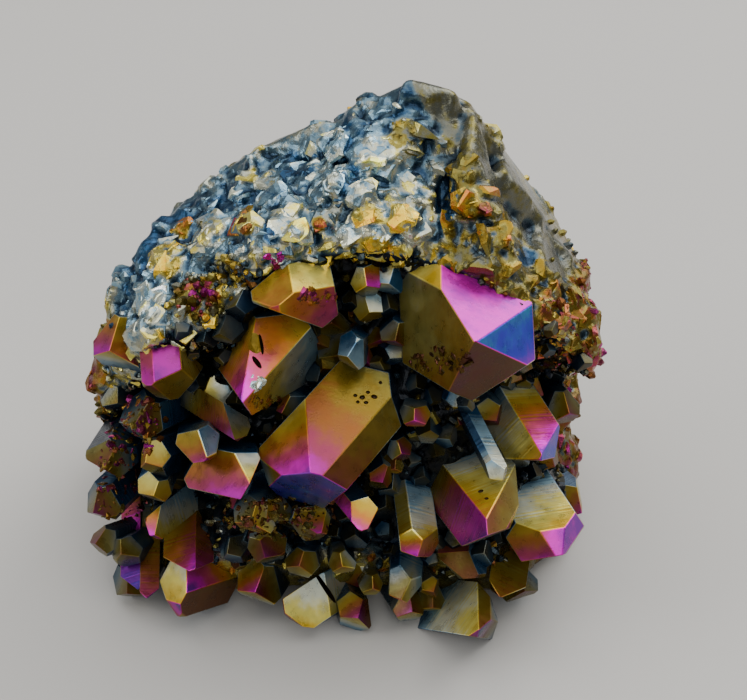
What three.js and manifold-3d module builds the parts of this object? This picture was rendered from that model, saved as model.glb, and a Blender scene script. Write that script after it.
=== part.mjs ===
// Titanium aura quartz: a lump of broken rock with a field of coated quartz points on its front.
// Lengths are in millimetres, +Z is up, and the lump stands on its flat foot at z = 0. The crystal
// field faces -Y. The whole lump grew as one piece, so it is one closed solid.
import * as THREE from 'three';
import { ConvexGeometry } from 'three/addons/geometries/ConvexGeometry.js';
import { mergeVertices } from 'three/addons/utils/BufferGeometryUtils.js';
import Module from 'manifold-3d';

// ---- driving dimensions ------------------------------------------------------------------
const PYRAMID_ANGLE = 38.2;        // quartz: a tip face makes this angle with the crystal's axis
const FIELD_TILT = 37;             // the crystal field's own axes lean back by this many degrees
const FIELD_CENTRE = [0, 0, 38];   // their origin; the axes are across, up and out
const CRYSTAL_ROOT = 15;           // how far a crystal runs on into the rock behind its tip
const CORE_CENTRE = [0, 3, 36];    // the rock is drawn outwards from here
const FIELD_BACK = 12;             // the field runs round the flanks as far as this Y
const CORE_DETAIL = 10;            // icosahedron subdivisions of the rock
const BLOCK = 8;                   // size of the broken blocks on the rock
const RELIEF = 4.5;                // height of the steps between those blocks
const POINT_SPACING = 9;           // between the small points that fill the field
const FIELD_DEPTH = 11;            // the crystal field's floor lies this far behind the rock's rim
const RIM = { top: 19, middle: 4, bend: 0.014 };  // the rim's line across the field's own axes
const SHALLOW = { share: 0.3, left: -13, right: 24, low: 2 };  // the floor by both ends of the rim
const GROUND_BLOCK = 200;          // its top cuts the foot flat at z = 0

// The rock is bounded by these broken or sawn faces: name, direction that it looks in, distance
// from CORE_CENTRE, and how much of RELIEF it carries.
const ROCK_FACES = [
  ['foot', [0, 0, -1], 37.5, 0],
  ['front', [0, -1, 0.05], 24.5, 0.3],
  ['front top', [0, -0.87, 0.48], 21.5, 0.5],
  ['front bottom', [0, -0.95, -0.3], 32, 0.3],
  ['left slope', [-0.49, -0.16, 0.86], 30.5, 0.8],
  ['front slope', [0.05, -0.56, 0.83], 29, 1],
  ['right slope', [0.78, -0.13, 0.61], 38.5, 0.8],
  ['sawn edge', [0.82, 0.13, 0.55], 41.5, 0.03],
  ['left edge', [-0.88, 0.15, 0.42], 37.5, 0.7],
  ['left', [-1, 0, 0.05], 40.5, 0.6],
  ['right', [1, 0, 0.05], 41, 0.6],
  ['left front', [-0.75, -0.66, 0.05], 33, 0.5],
  ['right front', [0.75, -0.66, 0.05], 36, 0.5],
  ['back', [0, 1, 0.1], 27, 0.6],
  ['back top', [-0.34, 0.72, 0.6], 37, 0.4],
  ['back left', [-0.7, 0.7, 0.1], 40, 0.8],
  ['back right', [0.7, 0.7, 0.1], 42, 0.8],
];

// The large crystals. tip: [across, up, out] where the six tip faces would meet; lean: degrees to
// the right of the field's out axis and below it; turn: degrees round its own axis; radius: axis to
// side face. cuts: how far each tip face is moved along its normal (negative leaves a smaller
// face); sides: each side face's distance as a share of the radius.
const CRYSTALS = [
  { name: 'centre', tip: [0.5, -14.5, 20], lean: [-10, 13], turn: 17, radius: 11,
    cuts: [-1.5, -2, -5, -8.5, -4.5, -6], sides: [0.8, 1.1, 0.95, 1.25, 1, 0.35] },
  { name: 'pink', tip: [18, 7, 26], lean: [-4, 2], turn: 3, radius: 12,
    cuts: [-4.5, -1, -2.5, 0, -7.5, -5.5], sides: [1, 0.65, 1, 0.75, 0.85, 1] },
  { name: 'left', tip: [-28.5, -2.5, 20], lean: [-8, 20], turn: 18, radius: 5,
    cuts: [-3.5, 0, 0, -1, -0.5, 0], sides: [0.8, 1.1, 1.1, 0.55, 0.95, 1] },
  { name: 'right gold', tip: [33, -14.5, 11], lean: [25, 40], turn: 24, radius: 5,
    cuts: [-1, -4, -4.5, -3, -0.5, -3.5], sides: [0.95, 0.55, 0.7, 1.15, 0.75, 0.55] },
  { name: 'big right', tip: [25.5, -25.5, 17], lean: [22, 26], turn: 46, radius: 10,
    cuts: [-1, -5, -6.5, -4.5, -0.5, -1], sides: [0.9, 0.4, 0.42, 0.65, 1, 0.45] },
  { name: 'upper left', tip: [-10.5, -0.5, 23], lean: [16, 15], turn: 35, radius: 9,
    cuts: [-5.5, 0, -5.5, -8, -9, -0.5], sides: [1.05, 0.7, 0.35, 0.7, 0.8, 1.2] },
  { name: 'top', tip: [-6.5, 10.5, 25], lean: [3, 1], turn: 10, radius: 6.5,
    cuts: [-3.5, -1, -1, -3, -2, 0], sides: [1, 1.1, 0.8, 1, 0.45, 1] },
  { name: 'nib', tip: [-21.5, -12.5, 18], lean: [5, 5], turn: 49, radius: 3,
    cuts: [-0.5, -2.5, 0, -2.5, -2.5, -2], sides: [1, 0.8, 1.3, 1, 0.8, 0.9] },
  { name: 'snout', tip: [-16.5, -18.5, 18], lean: [6, 8], turn: 30, radius: 5,
    cuts: [-5.5, -2, 0, -2, -4.5, -4], sides: [1.15, 0.9, 1.25, 1.4, 0.4, 0.4] },
  { name: 'finger', tip: [-16, -10, 17], lean: [30, 15], turn: 58, radius: 3,
    cuts: [0, -1.5, -2, -2.5, -1.5, -2], sides: [0.85, 1.25, 0.35, 0.5, 0.65, 1.15] },
  { name: 'lower left', tip: [-24, -33.5, 5], lean: [5, 38], turn: 51, radius: 3.5,
    cuts: [-2, -2, -2, -0.5, 0, -2], sides: [0.45, 0.4, 1.4, 1, 1, 1] },
  { name: 'wedge', tip: [-24.5, -36.5, 2], lean: [0, 9], turn: 32, radius: 5.5,
    cuts: [-0.5, -2.5, -1.5, -3.5, -4, -1], sides: [1.05, 0.8, 0.9, 0.95, 1, 1.3] },
  { name: 'purple', tip: [-35.5, -36.5, -4], lean: [7, 50], turn: 56, radius: 3,
    cuts: [-4, -3, -1, 0, -1, -3], sides: [1, 0.4, 0.55, 1, 1, 0.55] },
  { name: 'olive', tip: [-32, -37, -2], lean: [5, 46], turn: 25, radius: 2.8,
    cuts: [-2.5, -3, -3.5, -2, -1.5, -1.5], sides: [0.95, 0.35, 1, 0.35, 1, 0.35] },
  { name: 'bottom', tip: [-6, -39, 2], lean: [-26, 9], turn: 7, radius: 4.2,
    cuts: [0, -2, -3.5, -3.5, -3.5, -4], sides: [0.65, 1.1, 0.5, 0.7, 0.95, 1.1] },
  { name: 'bottom right', tip: [25, -41.5, 6.5], lean: [28, -4], turn: 19, radius: 8,
    cuts: [0, -0.5, -7, -6, -3.5, 0], sides: [0.4, 0.9, 0.35, 1.1, 0.4, 0.8] },
  { name: 'blue left', tip: [12.5, -30, 11], lean: [7, 43], turn: 7, radius: 5.6,
    cuts: [-1, -3, -1.5, -2, -0.5, -2], sides: [0.7, 0.55, 0.6, 0.45, 0.9, 0.7] },
  { name: 'spark', tip: [4, -25, 15], lean: [28, 28], turn: 39, radius: 2.8,
    cuts: [-2, -0.5, -1.5, -1.5, -1, -1], sides: [1.2, 1, 0.75, 0.45, 1, 1] },
  { name: 'under', tip: [20.5, -34.5, 5], lean: [-8, 33], turn: 39, radius: 3.6,
    cuts: [-1.5, 0, -2, -0.5, -0.5, -1.5], sides: [0.55, 0.7, 1.4, 0.7, 1, 1] },
  { name: 'green', tip: [27, -38.5, 1], lean: [-13, 40], turn: 2, radius: 2.6,
    cuts: [-1, -2.5, -2, -1, 0, 0], sides: [1.4, 0.4, 1.3, 0.9, 1, 1] },
  { name: 'olive edge', tip: [-30.5, -26.5, 5], lean: [-28, 23], turn: 12, radius: 3.2,
    cuts: [-2.5, -1, -1.5, -1, -1.5, -2], sides: [0.35, 1, 0.6, 1, 0.45, 1] },
  { name: 'blade', tip: [25.5, -17.5, 17], lean: [26, 46], turn: 12, radius: 1.7,
    cuts: [-0.5, -1, 0, -1, -0.5, -1], sides: [1, 0.8, 1.1, 0.9, 1, 0.8] },
  { name: 'hidden', tip: [10.5, -37.5, 6], lean: [-5, 33], turn: 1, radius: 2.8,
    cuts: [0, -1.5, 0, -1.5, -1, -2], sides: [1, 0.8, 1.1, 0.9, 1, 0.8] },
  { name: 'brown', tip: [-4, -26, 12], lean: [11, 17], turn: 33, radius: 3.1,
    cuts: [-1, 0, -1.5, -0.5, -1, -2], sides: [1, 0.8, 1.1, 0.9, 1, 0.8] },
  { name: 'low right', tip: [35, -31.5, 4], lean: [18, 30], turn: 34, radius: 8,
    cuts: [-2.5, -2.5, -2, -3.5, 0, -1.5], sides: [0.9, 0.55, 0.8, 0.6, 0.8, 0.9] },
];

// Smaller crystals that stand between them: tip place [across, up, out], radius, turn.
const SMALL_CRYSTALS = [
  [-36.5, 2.5, 12, 4.8, 20], [4.5, 12.5, 19, 2.6, 40], [8, 13, 18, 3, 10], [5, 8.5, 16, 2.6, 50],
  [9, 4, 16, 2.2, 15], [1.5, 1.5, 17, 2.4, 0], [12, -8.5, 16, 2, 30], [10, -14, 13, 1.7, 45],
  [7, -18.5, 14, 2, 5], [9, -16.5, 12, 1.5, 20], [-31, -15.5, 11, 3, 35], [-30, -21, 9, 2.4, 10],
  [-39, -17, 3, 3.4, 0], [-14, -25, 13, 3.4, 15], [-10, -24, 12, 2.2, 35], [-12, -31, 9, 3, 50],
  [-6.5, -32.5, 8, 2.6, 15],
  [0.5, -32.5, 8, 2.2, 40], [5.5, -37, 2, 1.8, 30], [15.5, -37.5, 2, 1.7, 0],
  [-14, -37.5, 2, 3.6, 12], [-41, -24.5, 0, 2.8, 25], [-41, -30, -2, 2.4, 5],
  [-36.5, -31.5, 0, 2.4, 45], [-36, -38.5, -4, 3, 35], [3, -42, 1, 3, 8], [12, -41, 1, 2.6, 33],
  [39, 0, 3, 3.2, 15], [38, -8, 2, 3, 40], [-33, -9.5, 9, 4, 5], [14, -11, 10, 2, 20],
  [19.5, -9.5, 9, 2.3, 50], [25.5, -9, 8, 2.2, 5], [15.5, -40.5, -1, 3, 25], [31, -38, -3, 3, 45],
];

// ---- repeatable variation ----------------------------------------------------------------
// A value in 0..1 for a cell of space; salt picks one of several independent values.
function cellValue(i, j, k, salt) {
  const s = Math.sin(i * 127.1 + j * 311.7 + k * 74.7 + salt * 53.3) * 43758.5453;
  return s - Math.floor(s);
}

// Broken-block relief: space is split into irregular cells, and each cell has its own height and
// its own tilted flat top. The result is about -1..1.
function blockRelief(point, size, salt) {
  const grid = point.map((value) => value / size);
  const home = grid.map(Math.floor);
  let nearest = Infinity;
  let relief = 0;
  for (let n = 0; n < 27; n++) {
    const [i, j, k] = [home[0] + (n % 3) - 1, home[1] + (Math.floor(n / 3) % 3) - 1,
      home[2] + Math.floor(n / 9) - 1];
    const offset = [0, 1, 2].map((a) => grid[a] - [i, j, k][a] - cellValue(i, j, k, salt + a));
    const distance = offset[0] ** 2 + offset[1] ** 2 + offset[2] ** 2;
    if (distance < nearest) {
      nearest = distance;
      const tilt = [3, 4, 5].map((s) => cellValue(i, j, k, salt + s) - 0.5);
      relief = 1.2 * (cellValue(i, j, k, salt + 6) - 0.5)
        + 1.2 * (tilt[0] * offset[0] + tilt[1] * offset[1] + tilt[2] * offset[2]);
    }
  }
  return relief;
}

// ---- the field's own axes ----------------------------------------------------------------
const tiltSin = Math.sin(THREE.MathUtils.degToRad(FIELD_TILT));
const tiltCos = Math.cos(THREE.MathUtils.degToRad(FIELD_TILT));

// A direction given across, up and out, in the lump's X, Y, Z.
function fieldDirection([across, up, out]) {
  return new THREE.Vector3(across, up * tiltSin - out * tiltCos, up * tiltCos + out * tiltSin);
}

function fieldPoint(place) {
  return fieldDirection(place).add(new THREE.Vector3(...FIELD_CENTRE));
}

// The other way: a point of the lump as [across, up, out].
function fieldPlace(point) {
  const [x, y, z] = point.map((value, a) => value - FIELD_CENTRE[a]);
  return [x, y * tiltSin + z * tiltCos, z * tiltSin - y * tiltCos];
}

// ---- rock --------------------------------------------------------------------------------
// Distance from CORE_CENTRE to the rock's surface in a direction.
function rockRadius(direction) {
  let radius = Infinity;
  let share = 0;
  for (const [, look, distance, rough] of ROCK_FACES) {
    const length = Math.hypot(...look);
    const facing = (direction[0] * look[0] + direction[1] * look[1] + direction[2] * look[2]) / length;
    if (facing > 0.05 && distance / facing < radius) {
      radius = distance / facing;
      share = rough;
    }
  }
  const surface = direction.map((value, a) => CORE_CENTRE[a] + value * radius);
  return radius + RELIEF * share * blockRelief(surface, BLOCK, 1) - FIELD_DEPTH * insideField(surface);
}

// 1 inside the crystal field and 0 on the bare rock, with a short ramp at the rim and round the back;
// the floor comes forward again near the foot and by both ends of the rim.
function insideField(point) {
  const [across, up] = fieldPlace(point);
  const rim = RIM.top - RIM.bend * (across - RIM.middle) ** 2;
  const below = THREE.MathUtils.smoothstep(rim - up, -1, 2);
  const above = 0.4 + 0.6 * THREE.MathUtils.smoothstep(point[2], 4, 20);
  const beside = Math.max(SHALLOW.left - across, across - SHALLOW.right);
  const shallow = THREE.MathUtils.smoothstep(beside, 0, 8)
    * THREE.MathUtils.smoothstep(up, SHALLOW.low, SHALLOW.low + 8);
  const depth = 1 - (1 - SHALLOW.share) * shallow;
  return below * above * depth * THREE.MathUtils.smoothstep(FIELD_BACK - point[1], 0, 8);
}

function makeRock() {
  const geometry = new THREE.IcosahedronGeometry(1, CORE_DETAIL);
  const position = geometry.attributes.position;
  for (let n = 0; n < position.count; n++) {
    const direction = new THREE.Vector3().fromBufferAttribute(position, n).normalize();
    const radius = rockRadius(direction.toArray());
    position.setXYZ(n, ...direction.toArray().map((value, a) => CORE_CENTRE[a] + value * radius));
  }
  return geometry;
}

// ---- crystals ----------------------------------------------------------------------------
const UP = new THREE.Vector3(0, 0, 1);

// The half-spaces whose common part is one crystal: six tip faces, six side faces and the root.
function crystalPlanes({ tip, lean, turn, radius, cuts, sides, root }) {
  const [right, down] = lean.map((angle) => Math.tan(THREE.MathUtils.degToRad(angle)));
  const axis = new THREE.Vector3(right, -down, 1).normalize();
  const swing = new THREE.Quaternion().setFromUnitVectors(UP, axis);
  const pyramid = THREE.MathUtils.degToRad(PYRAMID_ANGLE);
  const planes = [];
  for (let k = 0; k < 6; k++) {
    const angle = THREE.MathUtils.degToRad(turn + 60 * k);
    const side = new THREE.Vector3(Math.cos(angle), Math.sin(angle), 0).applyQuaternion(swing);
    const face = side.clone().multiplyScalar(Math.cos(pyramid))
      .addScaledVector(axis, Math.sin(pyramid));
    planes.push([face, -cuts[k]], [side, radius * sides[k]]);
  }
  planes.push([axis.clone().negate(), root]);
  const corner = fieldPoint(tip);
  return planes.map(([normal, distance]) => {
    const look = fieldDirection(normal.toArray());
    const foot = corner.clone().addScaledVector(look, distance);
    return new THREE.Plane().setFromNormalAndCoplanarPoint(look, foot);
  });
}

// Corners of a convex body: the points where three of its planes meet inside all the others.
function planeCorners(planes) {
  const corners = [];
  const along = new THREE.Vector3();
  for (let a = 0; a < planes.length; a++) {
    for (let b = a + 1; b < planes.length; b++) {
      for (let c = b + 1; c < planes.length; c++) {
        const [p, q, r] = [planes[a], planes[b], planes[c]];
        const volume = p.normal.dot(along.crossVectors(q.normal, r.normal));
        if (Math.abs(volume) < 1e-6) continue;
        const corner = along.clone().multiplyScalar(-p.constant)
          .addScaledVector(new THREE.Vector3().crossVectors(r.normal, p.normal), -q.constant)
          .addScaledVector(new THREE.Vector3().crossVectors(p.normal, q.normal), -r.constant)
          .divideScalar(volume);
        const inside = planes.every((plane) => plane.distanceToPoint(corner) < 1e-6);
        if (inside && corners.every((other) => other.distanceTo(corner) > 1e-3)) corners.push(corner);
      }
    }
  }
  return corners;
}

function makeCrystal(crystal) {
  return new ConvexGeometry(planeCorners(crystalPlanes(crystal)));
}

// A small crystal leans a little outwards from the middle of the field, and its six tip faces are
// uneven: three large and three small, each by its own amount.
function smallCrystal([across, up, out, radius, turn], n) {
  const vary = (salt) => cellValue(n, 3, 5, salt) - 0.5;
  return {
    tip: [across, up, out],
    lean: [0.5 * across + 24 * vary(1), 18 + 24 * vary(2)],
    turn,
    radius,
    cuts: [0, 1, 2, 3, 4, 5].map((k) => -radius * (k % 2 ? 0.55 : 0.05) * (1 + 0.8 * vary(3 + k))),
    sides: [0, 1, 2, 3, 4, 5].map((k) => 1 + 0.5 * vary(12 + k)),
    root: CRYSTAL_ROOT,
  };
}

// Whether a place of the field lies over a large crystal's body, so that no small point grows there.
function covers({ tip, lean, radius }, place) {
  const middle = [0, 1].map((a) => tip[a] + [-1, 1][a] * 1.2 * radius * Math.tan(lean[a] * Math.PI / 180));
  return Math.hypot(place[0] - middle[0], place[1] - middle[1]) < 0.9 * radius + 1;
}

// Points that fill the field and both flanks: an even scatter of directions, kept where the rock
// looks forwards or sideways below the broken slope, each with its tip a little proud of the rock.
function scatteredCrystals() {
  const count = Math.round((4 * Math.PI * 38 ** 2) / POINT_SPACING ** 2);
  const crystals = [];
  for (let n = 0; n < count; n++) {
    const height = 1 - (2 * n + 1) / count;
    const angle = n * Math.PI * (3 - Math.sqrt(5));
    const ring = Math.sqrt(1 - height * height);
    const direction = [ring * Math.cos(angle), ring * Math.sin(angle), height];
    const size = cellValue(n, 1, 2, 1);
    const reach = rockRadius(direction) + 2.2 + 1.5 * size;
    const point = direction.map((value, a) => CORE_CENTRE[a] + value * reach);
    const place = fieldPlace(point);
    const bare = point[2] < 3 || insideField(point) < 0.25;
    if (bare || CRYSTALS.some((large) => covers(large, place))) continue;
    const crystal = smallCrystal([...place, 2 + 2 * size, 60 * cellValue(n, 1, 2, 2)], n + 50);
    crystal.lean = [55 * direction[0] + 20 * (size - 0.5), 30 - 30 * height];
    crystals.push(crystal);
  }
  return crystals;
}

// ---- joining -----------------------------------------------------------------------------
const wasm = await Module();
wasm.setup();

function toManifold(geometry) {
  const bare = geometry.clone();
  bare.deleteAttribute('normal');
  bare.deleteAttribute('uv');
  const merged = mergeVertices(bare, 1e-4);
  return new wasm.Manifold(new wasm.Mesh({
    numProp: 3,
    vertProperties: new Float32Array(merged.attributes.position.array),
    triVerts: new Uint32Array(merged.index.array),
  }));
}

function toGeometry(solid) {
  const mesh = solid.getMesh();
  const geometry = new THREE.BufferGeometry();
  geometry.setAttribute('position', new THREE.BufferAttribute(new Float32Array(mesh.vertProperties), 3));
  geometry.setIndex(new THREE.BufferAttribute(new Uint32Array(mesh.triVerts), 1));
  return geometry;
}

function makeCluster() {
  const crystals = [
    ...CRYSTALS.map((crystal) => ({ ...crystal, root: CRYSTAL_ROOT + 1.5 * crystal.radius })),
    ...SMALL_CRYSTALS.map(smallCrystal),
    ...scatteredCrystals(),
  ];
  let lump = toManifold(makeRock());
  for (const crystal of crystals) lump = lump.add(toManifold(makeCrystal(crystal)));
  const ground = new THREE.BoxGeometry(GROUND_BLOCK, GROUND_BLOCK, GROUND_BLOCK)
    .translate(0, 0, -GROUND_BLOCK / 2);
  lump = lump.subtract(toManifold(ground));
  // crystals that lean together can close off a pocket, which is left solid
  const shells = lump.decompose().sort((a, b) => b.volume() - a.volume());
  return toGeometry(shells[0]);
}

const material = new THREE.MeshStandardMaterial({ color: 0x8a6a4a, roughness: 0.3, metalness: 0.8 });
const cluster = new THREE.Mesh(makeCluster(), material);
cluster.name = 'quartz_cluster';
const part = new THREE.Group();
part.name = 'aura_quartz';
part.add(cluster);
export default part;
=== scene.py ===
# %% [markdown]
# # A titanium aura quartz cluster
# Quartz points crowd the front of a lump of broken rock, and all of it carries a thin metal film
# whose colour changes with its thickness. This lesson builds the points and the rock from
# simple shapes that are cut by planes, gives each face its film, and lights the result softly.
# The measured solid is loaded first, because every piece here has to fill the same space.

# %% Load the measured solid
import math
import random

import bmesh
import bpy
import numpy as np
from mathutils import Matrix, Vector
from mathutils.bvhtree import BVHTree
from mathutils.kdtree import KDTree


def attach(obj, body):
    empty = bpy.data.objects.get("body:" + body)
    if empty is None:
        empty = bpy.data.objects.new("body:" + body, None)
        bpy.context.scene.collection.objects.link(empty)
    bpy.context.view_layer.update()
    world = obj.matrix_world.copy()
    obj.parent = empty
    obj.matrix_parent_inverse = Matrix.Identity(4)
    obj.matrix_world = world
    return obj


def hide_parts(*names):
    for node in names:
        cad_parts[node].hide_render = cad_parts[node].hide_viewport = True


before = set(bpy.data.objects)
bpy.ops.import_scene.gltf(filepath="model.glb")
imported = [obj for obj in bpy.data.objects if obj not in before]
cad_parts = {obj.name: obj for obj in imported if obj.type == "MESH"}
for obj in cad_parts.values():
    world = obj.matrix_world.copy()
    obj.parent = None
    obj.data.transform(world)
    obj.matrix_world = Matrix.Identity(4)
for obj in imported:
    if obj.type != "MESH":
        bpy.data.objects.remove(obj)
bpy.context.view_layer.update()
MM = 0.001

# %% [markdown]
# ## The crystal field's own axes
# The points grew on a face that leans back by 37 degrees. A crystal's place is easiest to say as
# across, up and out of that face, so two small helpers turn such a place into X, Y and Z. All
# sizes stay in millimetres until a mesh is finished.

# %% Across, up and out
FIELD_TILT = math.radians(37)
FIELD_CENTRE = np.array([0.0, 0.0, 38.0])
FIELD_AXES = np.array([
    [1, 0, 0],
    [0, math.sin(FIELD_TILT), math.cos(FIELD_TILT)],
    [0, -math.cos(FIELD_TILT), math.sin(FIELD_TILT)],
])


def field_point(place):
    """A place as across, up and out, in the lump's X, Y and Z."""
    return FIELD_CENTRE + np.asarray(place, float) @ FIELD_AXES


def field_place(point):
    """The other way: X, Y and Z as across, up and out."""
    return (np.asarray(point, float) - FIELD_CENTRE) @ FIELD_AXES.T


print("field centre", field_point([0, 0, 0]))

# %% [markdown]
# ## The broken rock's shape
# Rock breaks along flat faces, and each face carries a relief of smaller broken blocks. The
# rock is drawn outwards from a centre point: the nearest of a list of planes gives the distance in
# each direction, and block relief is added. Numpy works on all points at once, which keeps a
# dense mesh quick.

# %% Repeatable variation
FAR = 1e9      # mm, farther than any place of the lump


def cell_value(cells, salt):
    """A value in 0..1 for each cell of space, given as whole numbers."""
    s = np.sin(cells[..., 0] * 127.1 + cells[..., 1] * 311.7 + cells[..., 2] * 74.7 + salt * 53.3)
    s = s * 43758.5453
    return s - np.floor(s)


def block_relief(points, size, salt):
    """Height of irregular tilted blocks, and each block's own value."""
    grid = points / size
    home = np.floor(grid)
    nearest = np.full(len(points), FAR)
    relief, value = np.zeros(len(points)), np.zeros(len(points))
    for n in range(27):
        cell = home + np.array([n % 3 - 1, n // 3 % 3 - 1, n // 9 - 1])
        offset = grid - cell - np.stack([cell_value(cell, salt + a) for a in range(3)], axis=1)
        distance = (offset ** 2).sum(axis=1)
        tilt = np.stack([cell_value(cell, salt + s) - 0.5 for s in (3, 4, 5)], axis=1)
        height = 1.2 * (cell_value(cell, salt + 6) - 0.5) + 1.2 * (tilt * offset).sum(axis=1)
        closer = distance < nearest
        nearest = np.where(closer, distance, nearest)
        relief = np.where(closer, height, relief)
        value = np.where(closer, cell_value(cell, salt + 7), value)
    return relief, value


def smoothstep(x, low, high):
    """0 below low, 1 above high, and a soft change between them."""
    t = np.clip((x - low) / (high - low), 0, 1)
    return t * t * (3 - 2 * t)


def mix(a, b, share):
    return a + (b - a) * share


def unit(rows):
    """Each row of an array as a direction of length 1."""
    return rows / np.linalg.norm(rows, axis=1)[:, None]


print("block values:", block_relief(np.array([[0.0, 0, 0], [9, 0, 0]]), 8, 1)[1].round(2))

# %% The rock's faces
CORE_CENTRE = np.array([0.0, 3.0, 36.0])
BLOCK, RELIEF = 8.0, 4.5          # size of the broken blocks and height of their relief, in mm
GRAZING = 0.05                    # a face that looks away more than this isn't met
FIELD_DEPTH, FIELD_BACK = 11.0, 12.0
RIM_TOP, RIM_MIDDLE, RIM_BEND = 19.0, 4.0, 0.014
RIM_RAMP = (-1, 2)                # mm below the rim, between which the field's floor drops
FOOT_SHARE, FOOT_RAMP = 0.4, (4, 20)     # share of the depth near the foot, and where it grows
RAMP = 8.0                        # mm that every other change of depth takes
# the field's floor is shallow by both ends of the rim: its share of the depth, where that starts
SHALLOW_SHARE, SHALLOW_LEFT, SHALLOW_RIGHT, SHALLOW_LOW = 0.3, -13.0, 24.0, 2.0

# direction that the face looks in, its distance from the centre, its share of the relief
ROCK_FACES = {
    "foot": ([0, 0, -1], 37.5, 0),
    "front": ([0, -1, 0.05], 24.5, 0.3),
    "front top": ([0, -0.87, 0.48], 21.5, 0.5),
    "front bottom": ([0, -0.95, -0.3], 32, 0.3),
    "left slope": ([-0.49, -0.16, 0.86], 30.5, 0.8),
    "front slope": ([0.05, -0.56, 0.83], 29, 1),
    "right slope": ([0.78, -0.13, 0.61], 38.5, 0.8),
    "sawn edge": ([0.82, 0.13, 0.55], 41.5, 0.03),
    "left edge": ([-0.88, 0.15, 0.42], 37.5, 0.7),
    "left": ([-1, 0, 0.05], 40.5, 0.6),
    "right": ([1, 0, 0.05], 41, 0.6),
    "left front": ([-0.75, -0.66, 0.05], 33, 0.5),
    "right front": ([0.75, -0.66, 0.05], 36, 0.5),
    "back": ([0, 1, 0.1], 27, 0.6),
    "back top": ([-0.34, 0.72, 0.6], 37, 0.4),
    "back left": ([-0.7, 0.7, 0.1], 40, 0.8),
    "back right": ([0.7, 0.7, 0.1], 42, 0.8),
}


def rim_height(across):
    """How far up the field's upper rim is."""
    return RIM_TOP - RIM_BEND * (across - RIM_MIDDLE) ** 2


def inside_field(points):
    """1 inside the crystal field and 0 on the bare rock, with a short ramp at the rim."""
    across, up, _ = field_place(points).T
    below = smoothstep(rim_height(across) - up, *RIM_RAMP)
    above = FOOT_SHARE + (1 - FOOT_SHARE) * smoothstep(points[:, 2], *FOOT_RAMP)
    beside = np.maximum(SHALLOW_LEFT - across, across - SHALLOW_RIGHT)
    shallow = smoothstep(beside, 0, RAMP) * smoothstep(up, SHALLOW_LOW, SHALLOW_LOW + RAMP)
    depth = 1 - (1 - SHALLOW_SHARE) * shallow
    return below * above * depth * smoothstep(FIELD_BACK - points[:, 1], 0, RAMP)


def rock_surface(directions):
    """Points of the rock in these directions, and the index of the face each lies on."""
    radius = np.full(len(directions), FAR)
    share = np.zeros(len(directions))
    face = np.zeros(len(directions), int)
    for n, (look, distance, rough) in enumerate(ROCK_FACES.values()):
        facing = directions @ (np.array(look, float) / np.linalg.norm(look))
        reach = np.where(facing > GRAZING, distance / np.maximum(facing, GRAZING), FAR)
        closer = reach < radius
        radius, share = np.where(closer, reach, radius), np.where(closer, rough, share)
        face = np.where(closer, n, face)
    flat = CORE_CENTRE + directions * radius[:, None]
    relief = block_relief(flat, BLOCK, 1)[0]
    radius = radius + RELIEF * share * relief - FIELD_DEPTH * inside_field(flat)
    return CORE_CENTRE + directions * radius[:, None], face


print("rock faces:", len(ROCK_FACES))

# %% [markdown]
# ## The crystals
# A quartz point is six side faces round an axis and six tip faces that meet above them, and a tip
# face always makes 38.2 degrees with the axis. What differs from crystal to crystal is how far
# each face lies from the tip. So a crystal is a block that is cut by its planes one after another
# with bisect_plane, and each new face remembers which plane it is: 0 to 5 are tip faces,
# 6 to 11 are side faces and 12 is the hidden root.

# %% The large crystals
PYRAMID_ANGLE = math.radians(38.2)
CRYSTAL_ROOT = 15.0

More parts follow.
